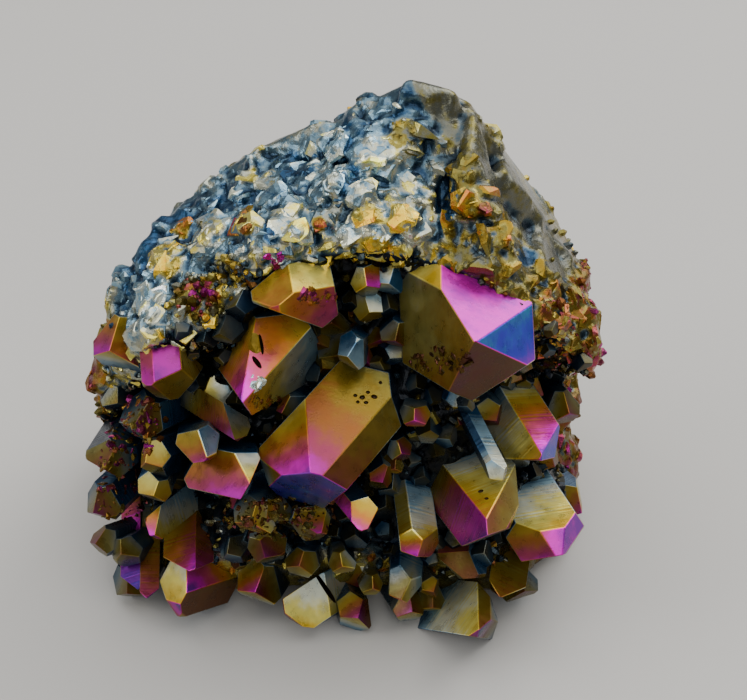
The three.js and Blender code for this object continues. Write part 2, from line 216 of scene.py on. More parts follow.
# tip: across, up, out; lean: degrees right and down; turn about the axis; radius; how far each
# tip face is moved along its normal; each side face's distance as a share of the radius
# Most of these numbers were found by a fitting program and then rounded. Some were changed.
CRYSTALS = {
    "centre": ([0.5, -14.5, 20], [-10, 13], 17, 11,
               [-1.5, -2, -5, -8.5, -4.5, -6], [0.8, 1.1, 0.95, 1.25, 1, 0.35]),
    "pink": ([18, 7, 26], [-4, 2], 3, 12,
             [-4.5, -1, -2.5, 0, -7.5, -5.5], [1, 0.65, 1, 0.75, 0.85, 1]),
    "left": ([-28.5, -2.5, 20], [-8, 20], 18, 5,
             [-3.5, 0, 0, -1, -0.5, 0], [0.8, 1.1, 1.1, 0.55, 0.95, 1]),
    "right gold": ([33, -14.5, 11], [25, 40], 24, 5,
                   [-1, -4, -4.5, -3, -0.5, -3.5], [0.95, 0.55, 0.7, 1.15, 0.75, 0.55]),
    "big right": ([25.5, -25.5, 17], [22, 26], 46, 10,
                  [-1, -5, -6.5, -4.5, -0.5, -1], [0.9, 0.4, 0.42, 0.65, 1, 0.45]),
    "upper left": ([-10.5, -0.5, 23], [16, 15], 35, 9,
                   [-5.5, 0, -5.5, -8, -9, -0.5], [1.05, 0.7, 0.35, 0.7, 0.8, 1.2]),
    "top": ([-6.5, 10.5, 25], [3, 1], 10, 6.5,
            [-3.5, -1, -1, -3, -2, 0], [1, 1.1, 0.8, 1, 0.45, 1]),
    "nib": ([-21.5, -12.5, 18], [5, 5], 49, 3,
            [-0.5, -2.5, 0, -2.5, -2.5, -2], [1, 0.8, 1.3, 1, 0.8, 0.9]),
    "snout": ([-16.5, -18.5, 18], [6, 8], 30, 5,
              [-5.5, -2, 0, -2, -4.5, -4], [1.15, 0.9, 1.25, 1.4, 0.4, 0.4]),
    "finger": ([-16, -10, 17], [30, 15], 58, 3,
               [0, -1.5, -2, -2.5, -1.5, -2], [0.85, 1.25, 0.35, 0.5, 0.65, 1.15]),
    "lower left": ([-24, -33.5, 5], [5, 38], 51, 3.5,
                   [-2, -2, -2, -0.5, 0, -2], [0.45, 0.4, 1.4, 1, 1, 1]),
    "wedge": ([-24.5, -36.5, 2], [0, 9], 32, 5.5,
              [-0.5, -2.5, -1.5, -3.5, -4, -1], [1.05, 0.8, 0.9, 0.95, 1, 1.3]),
    "purple": ([-35.5, -36.5, -4], [7, 50], 56, 3,
               [-4, -3, -1, 0, -1, -3], [1, 0.4, 0.55, 1, 1, 0.55]),
    "olive": ([-32, -37, -2], [5, 46], 25, 2.8,
              [-2.5, -3, -3.5, -2, -1.5, -1.5], [0.95, 0.35, 1, 0.35, 1, 0.35]),
    "bottom": ([-6, -39, 2], [-26, 9], 7, 4.2,
               [0, -2, -3.5, -3.5, -3.5, -4], [0.65, 1.1, 0.5, 0.7, 0.95, 1.1]),
    "bottom right": ([25, -41.5, 6.5], [28, -4], 19, 8,
                     [0, -0.5, -7, -6, -3.5, 0], [0.4, 0.9, 0.35, 1.1, 0.4, 0.8]),
    "blue left": ([12.5, -30, 11], [7, 43], 7, 5.6,
                  [-1, -3, -1.5, -2, -0.5, -2], [0.7, 0.55, 0.6, 0.45, 0.9, 0.7]),
    "spark": ([4, -25, 15], [28, 28], 39, 2.8,
              [-2, -0.5, -1.5, -1.5, -1, -1], [1.2, 1, 0.75, 0.45, 1, 1]),
    "under": ([20.5, -34.5, 5], [-8, 33], 39, 3.6,
              [-1.5, 0, -2, -0.5, -0.5, -1.5], [0.55, 0.7, 1.4, 0.7, 1, 1]),
    "green": ([27, -38.5, 1], [-13, 40], 2, 2.6,
              [-1, -2.5, -2, -1, 0, 0], [1.4, 0.4, 1.3, 0.9, 1, 1]),
    "olive edge": ([-30.5, -26.5, 5], [-28, 23], 12, 3.2,
                   [-2.5, -1, -1.5, -1, -1.5, -2], [0.35, 1, 0.6, 1, 0.45, 1]),
    "blade": ([25.5, -17.5, 17], [26, 46], 12, 1.7,
              [-0.5, -1, 0, -1, -0.5, -1], [1, 0.8, 1.1, 0.9, 1, 0.8]),
    "hidden": ([10.5, -37.5, 6], [-5, 33], 1, 2.8,
               [0, -1.5, 0, -1.5, -1, -2], [1, 0.8, 1.1, 0.9, 1, 0.8]),
    "brown": ([-4, -26, 12], [11, 17], 33, 3.1,
              [-1, 0, -1.5, -0.5, -1, -2], [1, 0.8, 1.1, 0.9, 1, 0.8]),
    "low right": ([35, -31.5, 4], [18, 30], 34, 8,
                  [-2.5, -2.5, -2, -3.5, 0, -1.5], [0.9, 0.55, 0.8, 0.6, 0.8, 0.9]),
}
print("large crystals:", len(CRYSTALS))

# %% The small crystals between them: tip across, up, out; radius; turn
SMALL_CRYSTALS = [
    (-36.5, 2.5, 12, 4.8, 20), (4.5, 12.5, 19, 2.6, 40), (8, 13, 18, 3, 10), (5, 8.5, 16, 2.6, 50),
    (9, 4, 16, 2.2, 15), (1.5, 1.5, 17, 2.4, 0), (12, -8.5, 16, 2, 30), (10, -14, 13, 1.7, 45),
    (7, -18.5, 14, 2, 5), (9, -16.5, 12, 1.5, 20), (-31, -15.5, 11, 3, 35), (-30, -21, 9, 2.4, 10),
    (-39, -17, 3, 3.4, 0), (-14, -25, 13, 3.4, 15), (-10, -24, 12, 2.2, 35), (-12, -31, 9, 3, 50),
    (-6.5, -32.5, 8, 2.6, 15), (0.5, -32.5, 8, 2.2, 40), (5.5, -37, 2, 1.8, 30), (15.5, -37.5, 2, 1.7, 0),
    (-14, -37.5, 2, 3.6, 12), (-41, -24.5, 0, 2.8, 25), (-41, -30, -2, 2.4, 5),
    (-36.5, -31.5, 0, 2.4, 45), (-36, -38.5, -4, 3, 35), (3, -42, 1, 3, 8), (12, -41, 1, 2.6, 33),
    (39, 0, 3, 3.2, 15), (38, -8, 2, 3, 40), (-33, -9.5, 9, 4, 5), (14, -11, 10, 2, 20),
    (19.5, -9.5, 9, 2.3, 50), (25.5, -9, 8, 2.2, 5), (15.5, -40.5, -1, 3, 25), (31, -38, -3, 3, 45),
]
OUTWARD, UPRIGHT, LEAN_SPREAD = 0.5, 18, 24    # degrees per mm across, degrees down, degrees
TIP_CUTS, CUT_SPREAD = (0.05, 0.55), 0.8       # large and small tip faces, in radii, and spread
SIDE_SPREAD = 0.5                              # how much the side faces' distances vary


def own_value(n, salt):
    """A value in 0..1 that belongs to a crystal's number."""
    return float(cell_value(np.array([n, 3, 5]), salt))


def small_crystal(place, radius, turn, n, lean=None):
    """A small crystal's row, from its place and size; its tip is uneven, three faces large."""
    vary = [own_value(n, salt) - 0.5 for salt in range(18)]
    lean = lean or [OUTWARD * place[0] + LEAN_SPREAD * vary[1], UPRIGHT + LEAN_SPREAD * vary[2]]
    cuts = [-radius * TIP_CUTS[k % 2] * (1 + CUT_SPREAD * vary[3 + k]) for k in range(6)]
    return (list(place), lean, turn, radius, cuts, [1 + SIDE_SPREAD * vary[12 + k] for k in range(6)])


small_rows = {f"small {n}": small_crystal(row[:3], row[3], row[4], n)
              for n, row in enumerate(SMALL_CRYSTALS)}
print("small crystals:", len(small_rows))

# %% The scatter that fills the rest of the field
POINT_SPACING, SPREAD_RADIUS = 9.0, 38       # mm between points, and the ball they are spread on
RISE, SIZE = (2.2, 1.5), (2, 2)              # mm out of the rock, and radius: least and spread
SPLAY, SPLAY_SPREAD, NOD = 55, 20, 30        # degrees that they lean to the sides, vary, lean down
LOWEST, LEAST_INSIDE = 3, 0.25               # mm up, and share of the field's depth, to grow at all


def covers(row, place):
    """Whether a place of the field lies over a large crystal's body."""
    (tip, lean, _, radius, _, _) = row
    middle = [tip[a] + (-1, 1)[a] * 1.2 * radius * math.tan(math.radians(lean[a])) for a in (0, 1)]
    return math.hypot(place[0] - middle[0], place[1] - middle[1]) < 0.9 * radius + 1


def scattered_crystals():
    """Rows of small crystals, evenly spread over the field where no large one stands."""
    count = round(4 * math.pi * SPREAD_RADIUS ** 2 / POINT_SPACING ** 2)
    n = np.arange(count)
    height = 1 - (2 * n + 1) / count
    angle = n * math.pi * (3 - math.sqrt(5))
    ring = np.sqrt(1 - height * height)
    directions = np.stack([ring * np.cos(angle), ring * np.sin(angle), height], axis=1)
    numbers = np.stack([n, n * 0 + 1, n * 0 + 2], axis=1)
    size, turn = cell_value(numbers, 1), 60 * cell_value(numbers, 2)
    points = rock_surface(directions)[0] + directions * (RISE[0] + RISE[1] * size)[:, None]
    inside = inside_field(points)
    rows = {}
    for k in range(count):
        place = field_place(points[k])
        bare = points[k][2] < LOWEST or inside[k] < LEAST_INSIDE
        if bare or any(covers(row, place) for row in CRYSTALS.values()):
            continue
        lean = [SPLAY * directions[k][0] + SPLAY_SPREAD * (size[k] - 0.5), NOD - NOD * height[k]]
        radius = SIZE[0] + SIZE[1] * size[k]
        rows[f"scatter {k}"] = small_crystal(place, radius, turn[k], k + 50, lean)
    return rows


scatter_rows = scattered_crystals()
print("scattered crystals:", len(scatter_rows))

# %% Planes of a crystal
def crystal_planes(row, root):
    """(point on the plane, outward normal) for six tip faces, six side faces and the root."""
    (tip, lean, turn, radius, cuts, sides) = row
    right, down = (math.tan(math.radians(a)) for a in lean)
    axis = Vector((right, -down, 1)).normalized()
    swing = Vector((0, 0, 1)).rotation_difference(axis)
    corner = field_point(tip)
    tips, flanks = [], []
    for k in range(6):
        angle = math.radians(turn + 60 * k)
        side = swing @ Vector((math.cos(angle), math.sin(angle), 0))
        face = side * math.cos(PYRAMID_ANGLE) + axis * math.sin(PYRAMID_ANGLE)
        tips.append((face, -cuts[k]))
        flanks.append((side, radius * sides[k]))
    planes = []
    for normal, distance in [*tips, *flanks, (-axis, root)]:
        look = np.array(normal) @ FIELD_AXES
        planes.append((corner + look * distance, look))
    return planes, np.array(axis) @ FIELD_AXES


planes, axis = crystal_planes(CRYSTALS["centre"], CRYSTAL_ROOT)
print("the centre crystal points along", axis.round(2))

# %% Cut one crystal out of a block
EDGE_ROUND, SMALL_EDGE_ROUND, FILL_EDGE_ROUND = 0.16, 0.1, 0.08     # mm
FIRST_SIDE, ROOT_PLANE, EDGE_STRIP = 6, 12, 13      # numbers that a face remembers


def bisect(body, point, normal, **settings):
    """Cuts a whole bmesh with a plane."""
    return bmesh.ops.bisect_plane(body, geom=body.verts[:] + body.edges[:] + body.faces[:],
                                  plane_co=Vector(point), plane_no=Vector(normal), **settings)


def edges_of(cut):
    """The edges that a cut made."""
    return [e for e in cut["geom_cut"] if isinstance(e, bmesh.types.BMEdge)]


def cut_crystal(row, root, edge_round):
    """A bmesh, in millimetres, of one crystal with its edges slightly rounded."""
    planes, axis = crystal_planes(row, root)
    block = bmesh.new()
    which = block.faces.layers.int.new("plane")
    middle = Vector(planes[ROOT_PLANE][0] + axis * root / 2)
    bmesh.ops.create_cube(block, size=6 * root, matrix=Matrix.Translation(middle))
    ground = (np.zeros(3), np.array([0.0, 0, -1]))
    for k, (point, normal) in enumerate([*planes, ground]):
        cut = bisect(block, point, normal, dist=1e-5, clear_outer=True)
        rim = [edge for edge in edges_of(cut) if edge.is_boundary]
        if len(rim) > 2:
            for face in bmesh.ops.contextual_create(block, geom=rim)["faces"]:
                face[which] = min(k, ROOT_PLANE)
    bmesh.ops.dissolve_degenerate(block, dist=1e-3, edges=block.edges[:])
    bmesh.ops.recalc_face_normals(block, faces=block.faces[:])
    sharp = [e for e in block.edges if all(f[which] < ROOT_PLANE for f in e.link_faces)]
    rounded = bmesh.ops.bevel(block, geom=sharp, offset=edge_round, offset_type="OFFSET",
                              segments=1, profile=0.5, affect="EDGES", material=-1,
                              clamp_overlap=True)
    for face in rounded["faces"]:
        face[which] = EDGE_STRIP
    return block, axis


test, _ = cut_crystal(CRYSTALS["centre"], CRYSTAL_ROOT, EDGE_ROUND)
print("the centre crystal has", len(test.faces), "faces with its edge strips")
test.free()

# %% [markdown]
# ## Film on each face
# The film is thicker on the outer ends of the points than in the shelter near the rock, so the
# colour runs from navy and silver through yellow, gold and magenta to purple and blue as a face
# comes outwards. Each corner of each face gets a film value from 0 to 1 for that, and a shade
# value of painted light and shade: how bright or dark the face is made, as light falls on it. Large
# faces have their own film row: value at the start, value at the end, the direction that it changes
# in (degrees, 0 across and 90 up), painted shade, and sometimes the reach in mm over which it changes.

# %% Film rows of the large faces, by crystal and plane number
FILM = {
    "centre": {1: (0.7, 0.37, 50, 0.45), 2: (0.78, 0.37, 115, 0.75), 4: (0.8, 0.87, -90, 0.5),
               0: (0.56, 0.4, 60, 0.22), 9: (0.12, 0.08, 90, 0.3)},
    "pink": {1: (0.7, 0.685, 90, 0.66), 2: (0.44, 0.39, 90, 0.85), 0: (0.78, 0.89, 130, 1.15),
             5: (0.56, 0.5, 0, 0.1), 3: (0.48, 0.32, 120, 0.2)},
    "left": {1: (0.75, 0.62, 90, 0.38), 2: (0.68, 0.52, 90, 0.6), 6: (0.44, 0.36, 90, 0.4),
             5: (0.5, 0.4, 0, 0.3)},
    "right gold": {8: (0.5, 0.2, 135, 0.5, 12), 7: (0.8, 0.38, 112, 1.25, 10),
                   0: (0.84, 0.8, 90, 0.8)},
    "big right": {7: (0.5, 0.25, 75, 0.95, 14), 8: (0.76, 0.44, 125, 0.36, 16),
                  0: (0.56, 0.38, 0, 0.35)},
    "upper left": {8: (0.74, 0.43, 125, 0.7, 9), 1: (0.72, 0.42, 20, 0.95), 5: (0.58, 0.16, 10, 0.42)},
    "top": {1: (0.41, 0.35, 90, 1.15), 2: (0.5, 0.42, 90, 0.6), 5: (0.44, 0.62, -30, 0.55)},
    "nib": {2: (0.66, 0.4, 100, 0.5), 0: (0.24, 0.12, 90, 0.5)},
    "snout": {2: (0.72, 0.43, 95, 0.45), 1: (0.44, 0.24, 95, 1.1), 7: (0.08, 0.04, 90, 0.5)},
    "finger": {8: (0.66, 0.4, 100, 0.4), 0: (0.4, 0.2, 90, 0.35)},
    "lower left": {7: (0.72, 0.32, 150, 0.55), 6: (0.62, 0.42, 90, 0.3)},
    "wedge": {2: (0.43, 0.28, 85, 1), 0: (0.8, 0.42, 45, 0.62), 5: (0.56, 0.48, 90, 0.14)},
    "purple": {7: (0.81, 0.62, 90, 0.7)},
    "olive": {7: (0.64, 0.34, 90, 0.4)},
    "bottom": {0: (0.44, 0.24, 75, 1.15), 6: (0.38, 0.2, 90, 0.6)},
    "bottom right": {8: (0.4, 0.22, 150, 1), 1: (0.5, 0.4, 90, 0.25)},
    "blue left": {7: (0.42, 0.12, 100, 0.7, 10), 8: (0.46, 0.3, 90, 0.3, 10), 2: (0.74, 0.38, 90, 0.7),
                  0: (0.62, 0.44, 90, 0.35)},
    "spark": {8: (0.76, 0.4, 110, 0.6), 1: (0.66, 0.4, 60, 0.85)},
    "under": {7: (0.56, 0.44, 90, 0.4), 1: (0.56, 0.46, 90, 0.2), 6: (0.14, 0.08, 90, 0.35)},
    "green": {7: (0.5, 0.36, 90, 0.4)},
    "olive edge": {6: (0.48, 0.08, 90, 0.45), 1: (0.72, 0.44, 90, 0.6)},
    "blade": {7: (0.3, 0.12, 90, 0.9), 2: (0.36, 0.2, 90, 0.9)},
    "small 0": {2: (0.72, 0.46, 90, 0.5), 0: (0.6, 0.44, 90, 0.5)},
    "small 1": {2: (0.46, 0.3, 90, 0.8), 0: (0.74, 0.44, 90, 0.6)},
    "small 2": {2: (0.1, 0.42, 45, 0.6), 0: (0.1, 0.12, 90, 0.5), 4: (0.4, 0.1, -90, 0.5)},
    "small 3": {2: (0.44, 0.3, 90, 0.6), 0: (0.3, 0.2, 90, 1), 4: (0.44, 0.4, 90, 0.3)},
    "small 5": {1: (0.26, 0.2, 90, 0.9), 2: (0.2, 0.1, 90, 0.5), 0: (0.24, 0.12, 90, 0.5)},
    "small 10": {0: (0.5, 0.36, 90, 0.45), 2: (0.5, 0.36, 90, 0.45)},
    "small 11": {0: (0.5, 0.4, 90, 0.4), 2: (0.48, 0.34, 90, 0.5)},
    "low right": {7: (0.46, 0.24, 120, 1.2, 10), 1: (0.6, 0.72, 0, 0.7), 0: (0.72, 0.79, 0, 0.7),
                  2: (0.66, 0.42, 100, 0.5)},
}
print("crystals with film rows:", len(FILM))

# %% Film at each corner of a crystal
FILM_BEND = 0.7    # below 1, the film changes fastest at the outer end of a face
SLICE = 2.5        # mm between cuts through a large crystal, so that its film can bend
# the general rule: film at the tip, darkest shade and its spread, for small and filling crystals
# the filling crystals stand in the hollows, and their lower shade is painted shade there
SMALL_LOOK, FILL_LOOK = (0.54, 0.14, 0.5), (0.32, 0.04, 0.22)
CHANCE_FILM, SIDE_THINNER, FALL = 0.3, 0.14, 0.075     # random film, side faces, loss per mm
TIP_LINES = 0.12                                       # growth lines on a tip face, 1 on a side
CORNER_VALUES = ("film", "shade", "depth", "lines", "edge")


def slice_block(block):
    """Cuts the faces of a crystal into small cells, without changing its shape."""
    for axis in FIELD_AXES[:2]:
        spans = [float((np.array(v.co) - FIELD_CENTRE) @ axis) for v in block.verts]
        for k in range(math.ceil(min(spans) / SLICE), math.ceil(max(spans) / SLICE)):
            bisect(block, FIELD_CENTRE + axis * k * SLICE, axis, dist=1e-4)


def face_film(name, plane, corners, whole, depths, chance):
    """Film and shade at each corner of a cell: from its face's own row, or from the general rule."""
    if plane in FILM.get(name, {}):
        start, end, direction, shade, *reach = FILM[name][plane]
        way = np.array([math.cos(math.radians(direction)), math.sin(math.radians(direction)), 0])
        low, high = (whole @ way).min(), (whole @ way).max()
        t = (corners @ way - low) / (reach[0] if reach else max(high - low, 1e-6))
        return start + (end - start) * np.maximum(t, 0) ** FILM_BEND, shade
    tip_film, darkest, spread = FILL_LOOK if name == "fill" else SMALL_LOOK
    tip_film += CHANCE_FILM * (chance[0] - 0.5) - (0 if plane < FIRST_SIDE else SIDE_THINNER)
    film = np.clip(tip_film - FALL * np.array(depths), 0.05, 1)
    return film, darkest + spread * chance[1] ** 3


def paint_crystal(block, name, row, axis, number):
    """Writes film, shade, depth along the axis, growth lines and edge onto a crystal's corners."""
    which = block.faces.layers.int["plane"]
    film, shade, depth, lines, edge = (block.loops.layers.float.new(n) for n in CORNER_VALUES)
    tip = field_point(row[0])
    whole = {}
    for face in block.faces:
        whole.setdefault(face[which], []).extend(field_place(v.co) for v in face.verts)
    for face in block.faces:
        if face[which] == EDGE_STRIP:
            continue
        depths = [float((tip - np.array(loop.vert.co)) @ axis) for loop in face.loops]
        corners = np.array([field_place(loop.vert.co) for loop in face.loops])
        chance = [own_value(number * 13 + face[which], salt) for salt in (1, 2)]
        values, face_shade = face_film(name, face[which], corners, np.array(whole[face[which]]),
                                       depths, chance)
        for loop, value, d in zip(face.loops, values, depths):
            loop[film], loop[shade], loop[depth], loop[edge] = value, face_shade, d, 0
            loop[lines] = 1 if face[which] >= FIRST_SIDE else TIP_LINES
    for face in block.faces:
        if face[which] != EDGE_STRIP:
            continue
        for loop in face.loops:      # an edge strip takes the mean of the faces beside it
            near = [other for other in loop.vert.link_loops if other.face[which] != EDGE_STRIP]
            near = near or [other for e in loop.vert.link_edges for v in e.verts
                            for other in v.link_loops if other.face[which] != EDGE_STRIP]
            if near:
                for layer in (film, shade, depth, lines):
                    loop[layer] = sum(other[layer] for other in near) / len(near)
            loop[edge] = 1


# %% From a bmesh to a piece
def to_mesh(body, name):
    """A bmesh as a mesh; the bmesh is used up."""
    mesh = bpy.data.meshes.new(name)
    body.to_mesh(mesh)
    body.free()
    return mesh


def add_object(name, data):
    """A new object of the scene, for a mesh, a light or a camera."""
    thing = bpy.data.objects.new(name, data)
    bpy.context.scene.collection.objects.link(thing)
    return thing


def pour(mesh, whole):
    """Adds a mesh to a bmesh; the mesh is used up."""
    whole.from_mesh(mesh)
    bpy.data.meshes.remove(mesh)


def in_metres(block):
    """A bmesh in millimetres as a mesh in metres."""
    block.transform(Matrix.Scale(MM, 4))
    return to_mesh(block, "carrier")


def finish_piece(whole, name, material):
    """Turns a bmesh in metres into a piece of the cluster that stands for the measured solid."""
    piece = add_object(name, to_mesh(whole, name))
    piece.data.materials.append(material)
    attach(piece, "root")
    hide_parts("quartz_cluster")
    print(name, "has", len(piece.data.polygons), "faces")
    return piece


# %% [markdown]
# ## Film colours
# A metal film's colour comes from light bouncing inside it, and it runs through the same order
# every time. A colour ramp holds that order in one node group, which both the crystals and
# the rock use, so that the same thickness always has the same colour. The group adds a fine
# mottle to the thickness, because a real film is never even.

# %% Node helpers
def new_node(tree, kind, inputs=None, **settings):
    """A node; each of its inputs is a value or an output of another node."""
    node = tree.nodes.new(kind)
    for key, value in settings.items():
        setattr(node, key, value)
    for key, value in (inputs or {}).items():
        if isinstance(value, bpy.types.NodeSocket):
            tree.links.new(value, node.inputs[key])
        else:
            node.inputs[key].default_value = value
    return node


def sum_node(tree, operation, *values, clamp=False):
    """The output of a Math node."""
    return new_node(tree, "ShaderNodeMath", dict(enumerate(values)),
                    operation=operation, use_clamp=clamp).outputs[0]


def noise_node(tree, scale, detail, **inputs):
    """Noise on the object's own coordinates."""
    place = new_node(tree, "ShaderNodeTexCoord").outputs["Object"]
    inputs = {"Vector": place, "Scale": scale, "Detail": detail, **inputs}
    return new_node(tree, "ShaderNodeTexNoise", inputs).outputs["Fac"]


def range_node(tree, value, ends, results):
    """A value between two ends, turned into one between two results."""
    inputs = {"Value": value, "From Min": ends[0], "From Max": ends[1],
              "To Min": results[0], "To Max": results[1]}
    return new_node(tree, "ShaderNodeMapRange", inputs).outputs["Result"]


def value_of(tree, name):
    """A number that a mesh keeps at its corners or vertices."""
    return new_node(tree, "ShaderNodeAttribute", attribute_name=name).outputs["Fac"]


def new_material(name):
    """A material, its node tree and its shader's inputs."""
    material = bpy.data.materials.new(name)
    material.use_nodes = True
    tree = material.node_tree
    return material, tree, tree.nodes["Principled BSDF"].inputs


# %% Colours by thickness: film value, then red, green and blue
FILM_COLOURS = [
    (0.0, (0.004, 0.008, 0.022)), (0.1, (0.03, 0.14, 0.31)), (0.2, (0.3, 0.5, 0.62)),
    (0.28, (0.72, 0.73, 0.56)), (0.36, (0.74, 0.63, 0.13)), (0.44, (0.62, 0.39, 0.02)),
    (0.52, (0.62, 0.2, 0.03)), (0.6, (0.62, 0.07, 0.17)), (0.68, (0.85, 0.0, 0.62)),
    (0.76, (0.24, 0.02, 0.42)), (0.84, (0.03, 0.035, 0.42)), (0.92, (0.02, 0.22, 0.3)),
    (1.0, (0.05, 0.3, 0.1)),
]


def film_colour_group():
    """The group: film, shade and mottle in, colour out."""
    group = bpy.data.node_groups.new("film colour", "ShaderNodeTree")
    for name, value in (("Film", 0.5), ("Shade", 1.0), ("Mottle", 0.03), ("Mottle Size", 900.0)):
        socket = group.interface.new_socket(name, in_out="INPUT", socket_type="NodeSocketFloat")
        socket.default_value = value
    group.interface.new_socket("Colour", in_out="OUTPUT", socket_type="NodeSocketColor")
    given = new_node(group, "NodeGroupInput").outputs
    mottle = noise_node(group, given["Mottle Size"], 4.0, Roughness=0.65)
    mottle = sum_node(group, "MULTIPLY", sum_node(group, "SUBTRACT", mottle, 0.5), given["Mottle"])
    total = sum_node(group, "ADD", given["Film"], mottle, clamp=True)
    ramp = new_node(group, "ShaderNodeValToRGB", {"Fac": total})
    ramp.color_ramp.interpolation = "EASE"
    while len(ramp.color_ramp.elements) < len(FILM_COLOURS):
        ramp.color_ramp.elements.new(0.5)
    for element, (position, colour) in zip(ramp.color_ramp.elements, FILM_COLOURS):
        element.position, element.color = position, (*colour, 1)
    dim = new_node(group, "ShaderNodeVectorMath", {0: ramp.outputs["Color"], "Scale": given["Shade"]},
                   operation="SCALE")
    new_node(group, "NodeGroupOutput", {"Colour": dim.outputs[0]})
    return group


film_group = film_colour_group()
print("film colours:", len(FILM_COLOURS))

# %% The crystal's finish
BAND_WANDER, BAND_RIPPLE = 0.16, 0.14      # how far broad noise and growth lines move the film
SHELTER_AND_PAINTED_SHADE = (11.0, 23.0), (1.0, 0.12)        # mm from the tip, and the painted shade: the light that is left there
SHELTER_THINNER, THINNEST = 0.3, 0.06      # film lost near the rock, and the least film
EDGE_HIGHLIGHT = 0.5                            # painted highlight: how much lighter an edge strip is


def film_colour(tree, film, shade, mottle, mottle_size):
    """The colour that the film group gives."""
    inputs = {"Mottle": mottle, "Mottle Size": mottle_size, "Film": film, "Shade": shade}
    return new_node(tree, "ShaderNodeGroup", inputs, node_tree=film_group).outputs["Colour"]


def set_shader(tree, shader, metallic, colour, roughness, height, strength, distance):
    """Feeds a shader its colour, roughness and a bump of a given distance in metres."""
    bump = new_node(tree, "ShaderNodeBump", {"Strength": strength, "Distance": distance,
                                             "Height": height})
    tree.links.new(colour, shader["Base Color"])
    tree.links.new(bump.outputs["Normal"], shader["Normal"])
    tree.links.new(roughness, shader["Roughness"])
    shader["Metallic"].default_value = metallic


def crystal_material():
    material, tree, shader = new_material("coated quartz")
    film, shade, depth, lines, edge = (value_of(tree, name) for name in CORNER_VALUES)
    broad = noise_node(tree, 140.0, 3.0, Distortion=0.6)
    grain, cloud = noise_node(tree, 2600.0, 4.0), noise_node(tree, 420.0, 5.0)
    bands = new_node(tree, "ShaderNodeTexNoise", {"Scale": 2.2, "Detail": 4.0},
                     noise_dimensions="1D")
    tree.links.new(depth, bands.inputs["W"])
    bands = bands.outputs["Fac"]
    # the film's bands wander, and follow the growth lines a little
    wander = sum_node(tree, "MULTIPLY_ADD", broad, BAND_WANDER, -BAND_WANDER / 2)
    ripple = sum_node(tree, "MULTIPLY_ADD", bands, BAND_RIPPLE, -BAND_RIPPLE / 2)
    ripple = sum_node(tree, "MULTIPLY", ripple, lines)
    film = sum_node(tree, "ADD", sum_node(tree, "ADD", film, wander), ripple, clamp=True)
    # film thins and painted shade darkens towards the rock, and the tone varies in cloudy patches;
    # edge strips get a painted highlight
    light = range_node(tree, depth, *SHELTER_AND_PAINTED_SHADE)
    thinner = sum_node(tree, "MULTIPLY_ADD", light, SHELTER_THINNER, -SHELTER_THINNER)
    film = sum_node(tree, "MAXIMUM", sum_node(tree, "ADD", film, thinner), THINNEST)
    for factor in (light, sum_node(tree, "MULTIPLY_ADD", cloud, 0.7, 0.65),
                   sum_node(tree, "MULTIPLY_ADD", edge, EDGE_HIGHLIGHT, 1.0)):
        shade = sum_node(tree, "MULTIPLY", shade, factor)
    height = sum_node(tree, "MULTIPLY", bands, lines)
    for noise, strength in ((grain, 0.35), (broad, 0.8)):
        height = sum_node(tree, "MULTIPLY_ADD", noise, strength, height)
    rough = range_node(tree, cloud, (0.3, 0.7), (0.22, 0.42))
    set_shader(tree, shader, 0.6, film_colour(tree, film, shade, 0.07, 700.0), rough,
               height, 0.4, 0.00016)
    return material


crystal_finish = crystal_material()

# %% [markdown]
# ## Marks on single crystals
# A few large crystals were damaged as they grew: small round pits where bubbles or grains sat, a
# notch beside a ridge, and a crack that runs down from a broken end. Each mark is a small solid
# taken away from its crystal with a boolean, so it has a real depth.

# %% Carved marks: across, up, half sizes (across, up, out), turn in degrees, film and shade
MARKS = {
    "centre": [(2.7, -4.7, 0.35, 0.3, 0.4, 0), (3.8, -5, 0.5, 0.4, 0.5, 20),
               (4.7, -4.2, 0.35, 0.3, 0.4, 0), (5.7, -4.9, 0.55, 0.4, 0.5, -20),
               (3.1, -5.7, 0.3, 0.3, 0.4, 0),
               (4.4, -5.8, 0.4, 0.3, 0.4, 0), (6.7, -2.7, 0.3, 0.3, 0.4, 0)],
    "big right": [(22.6, -19.9, 0.5, 0.35, 0.5, 30), (23.4, -20.9, 0.35, 0.3, 0.4, 0)],
    "upper left": [(-12.9, 3.6, 1.2, 2.9, 1.6, 10, 0.43, 0.5), (-11.9, 3.4, 0.35, 2.3, 1.8, 12),
                   (-12.4, 0.6, 0.4, 1.6, 1, 35)],
    "bottom": [(-2.2, -37.5, 0.4, 5, 3, 32)],
    "pink": [(17.4, 0.6, 1.6, 0.35, 0.8, -25), (14.6, 1.8, 0.9, 0.3, 0.6, -30)],
}
# the low shade inside a mark is painted shade in its hollow
MARK_LOOK = [0.5, 0.05]    # film and shade inside a mark, unless its row ends with its own
MARK_REST = [5, 0, 0]      # depth, lines and edge inside it
FRONT = 80                 # mm out of the field, in front of everything


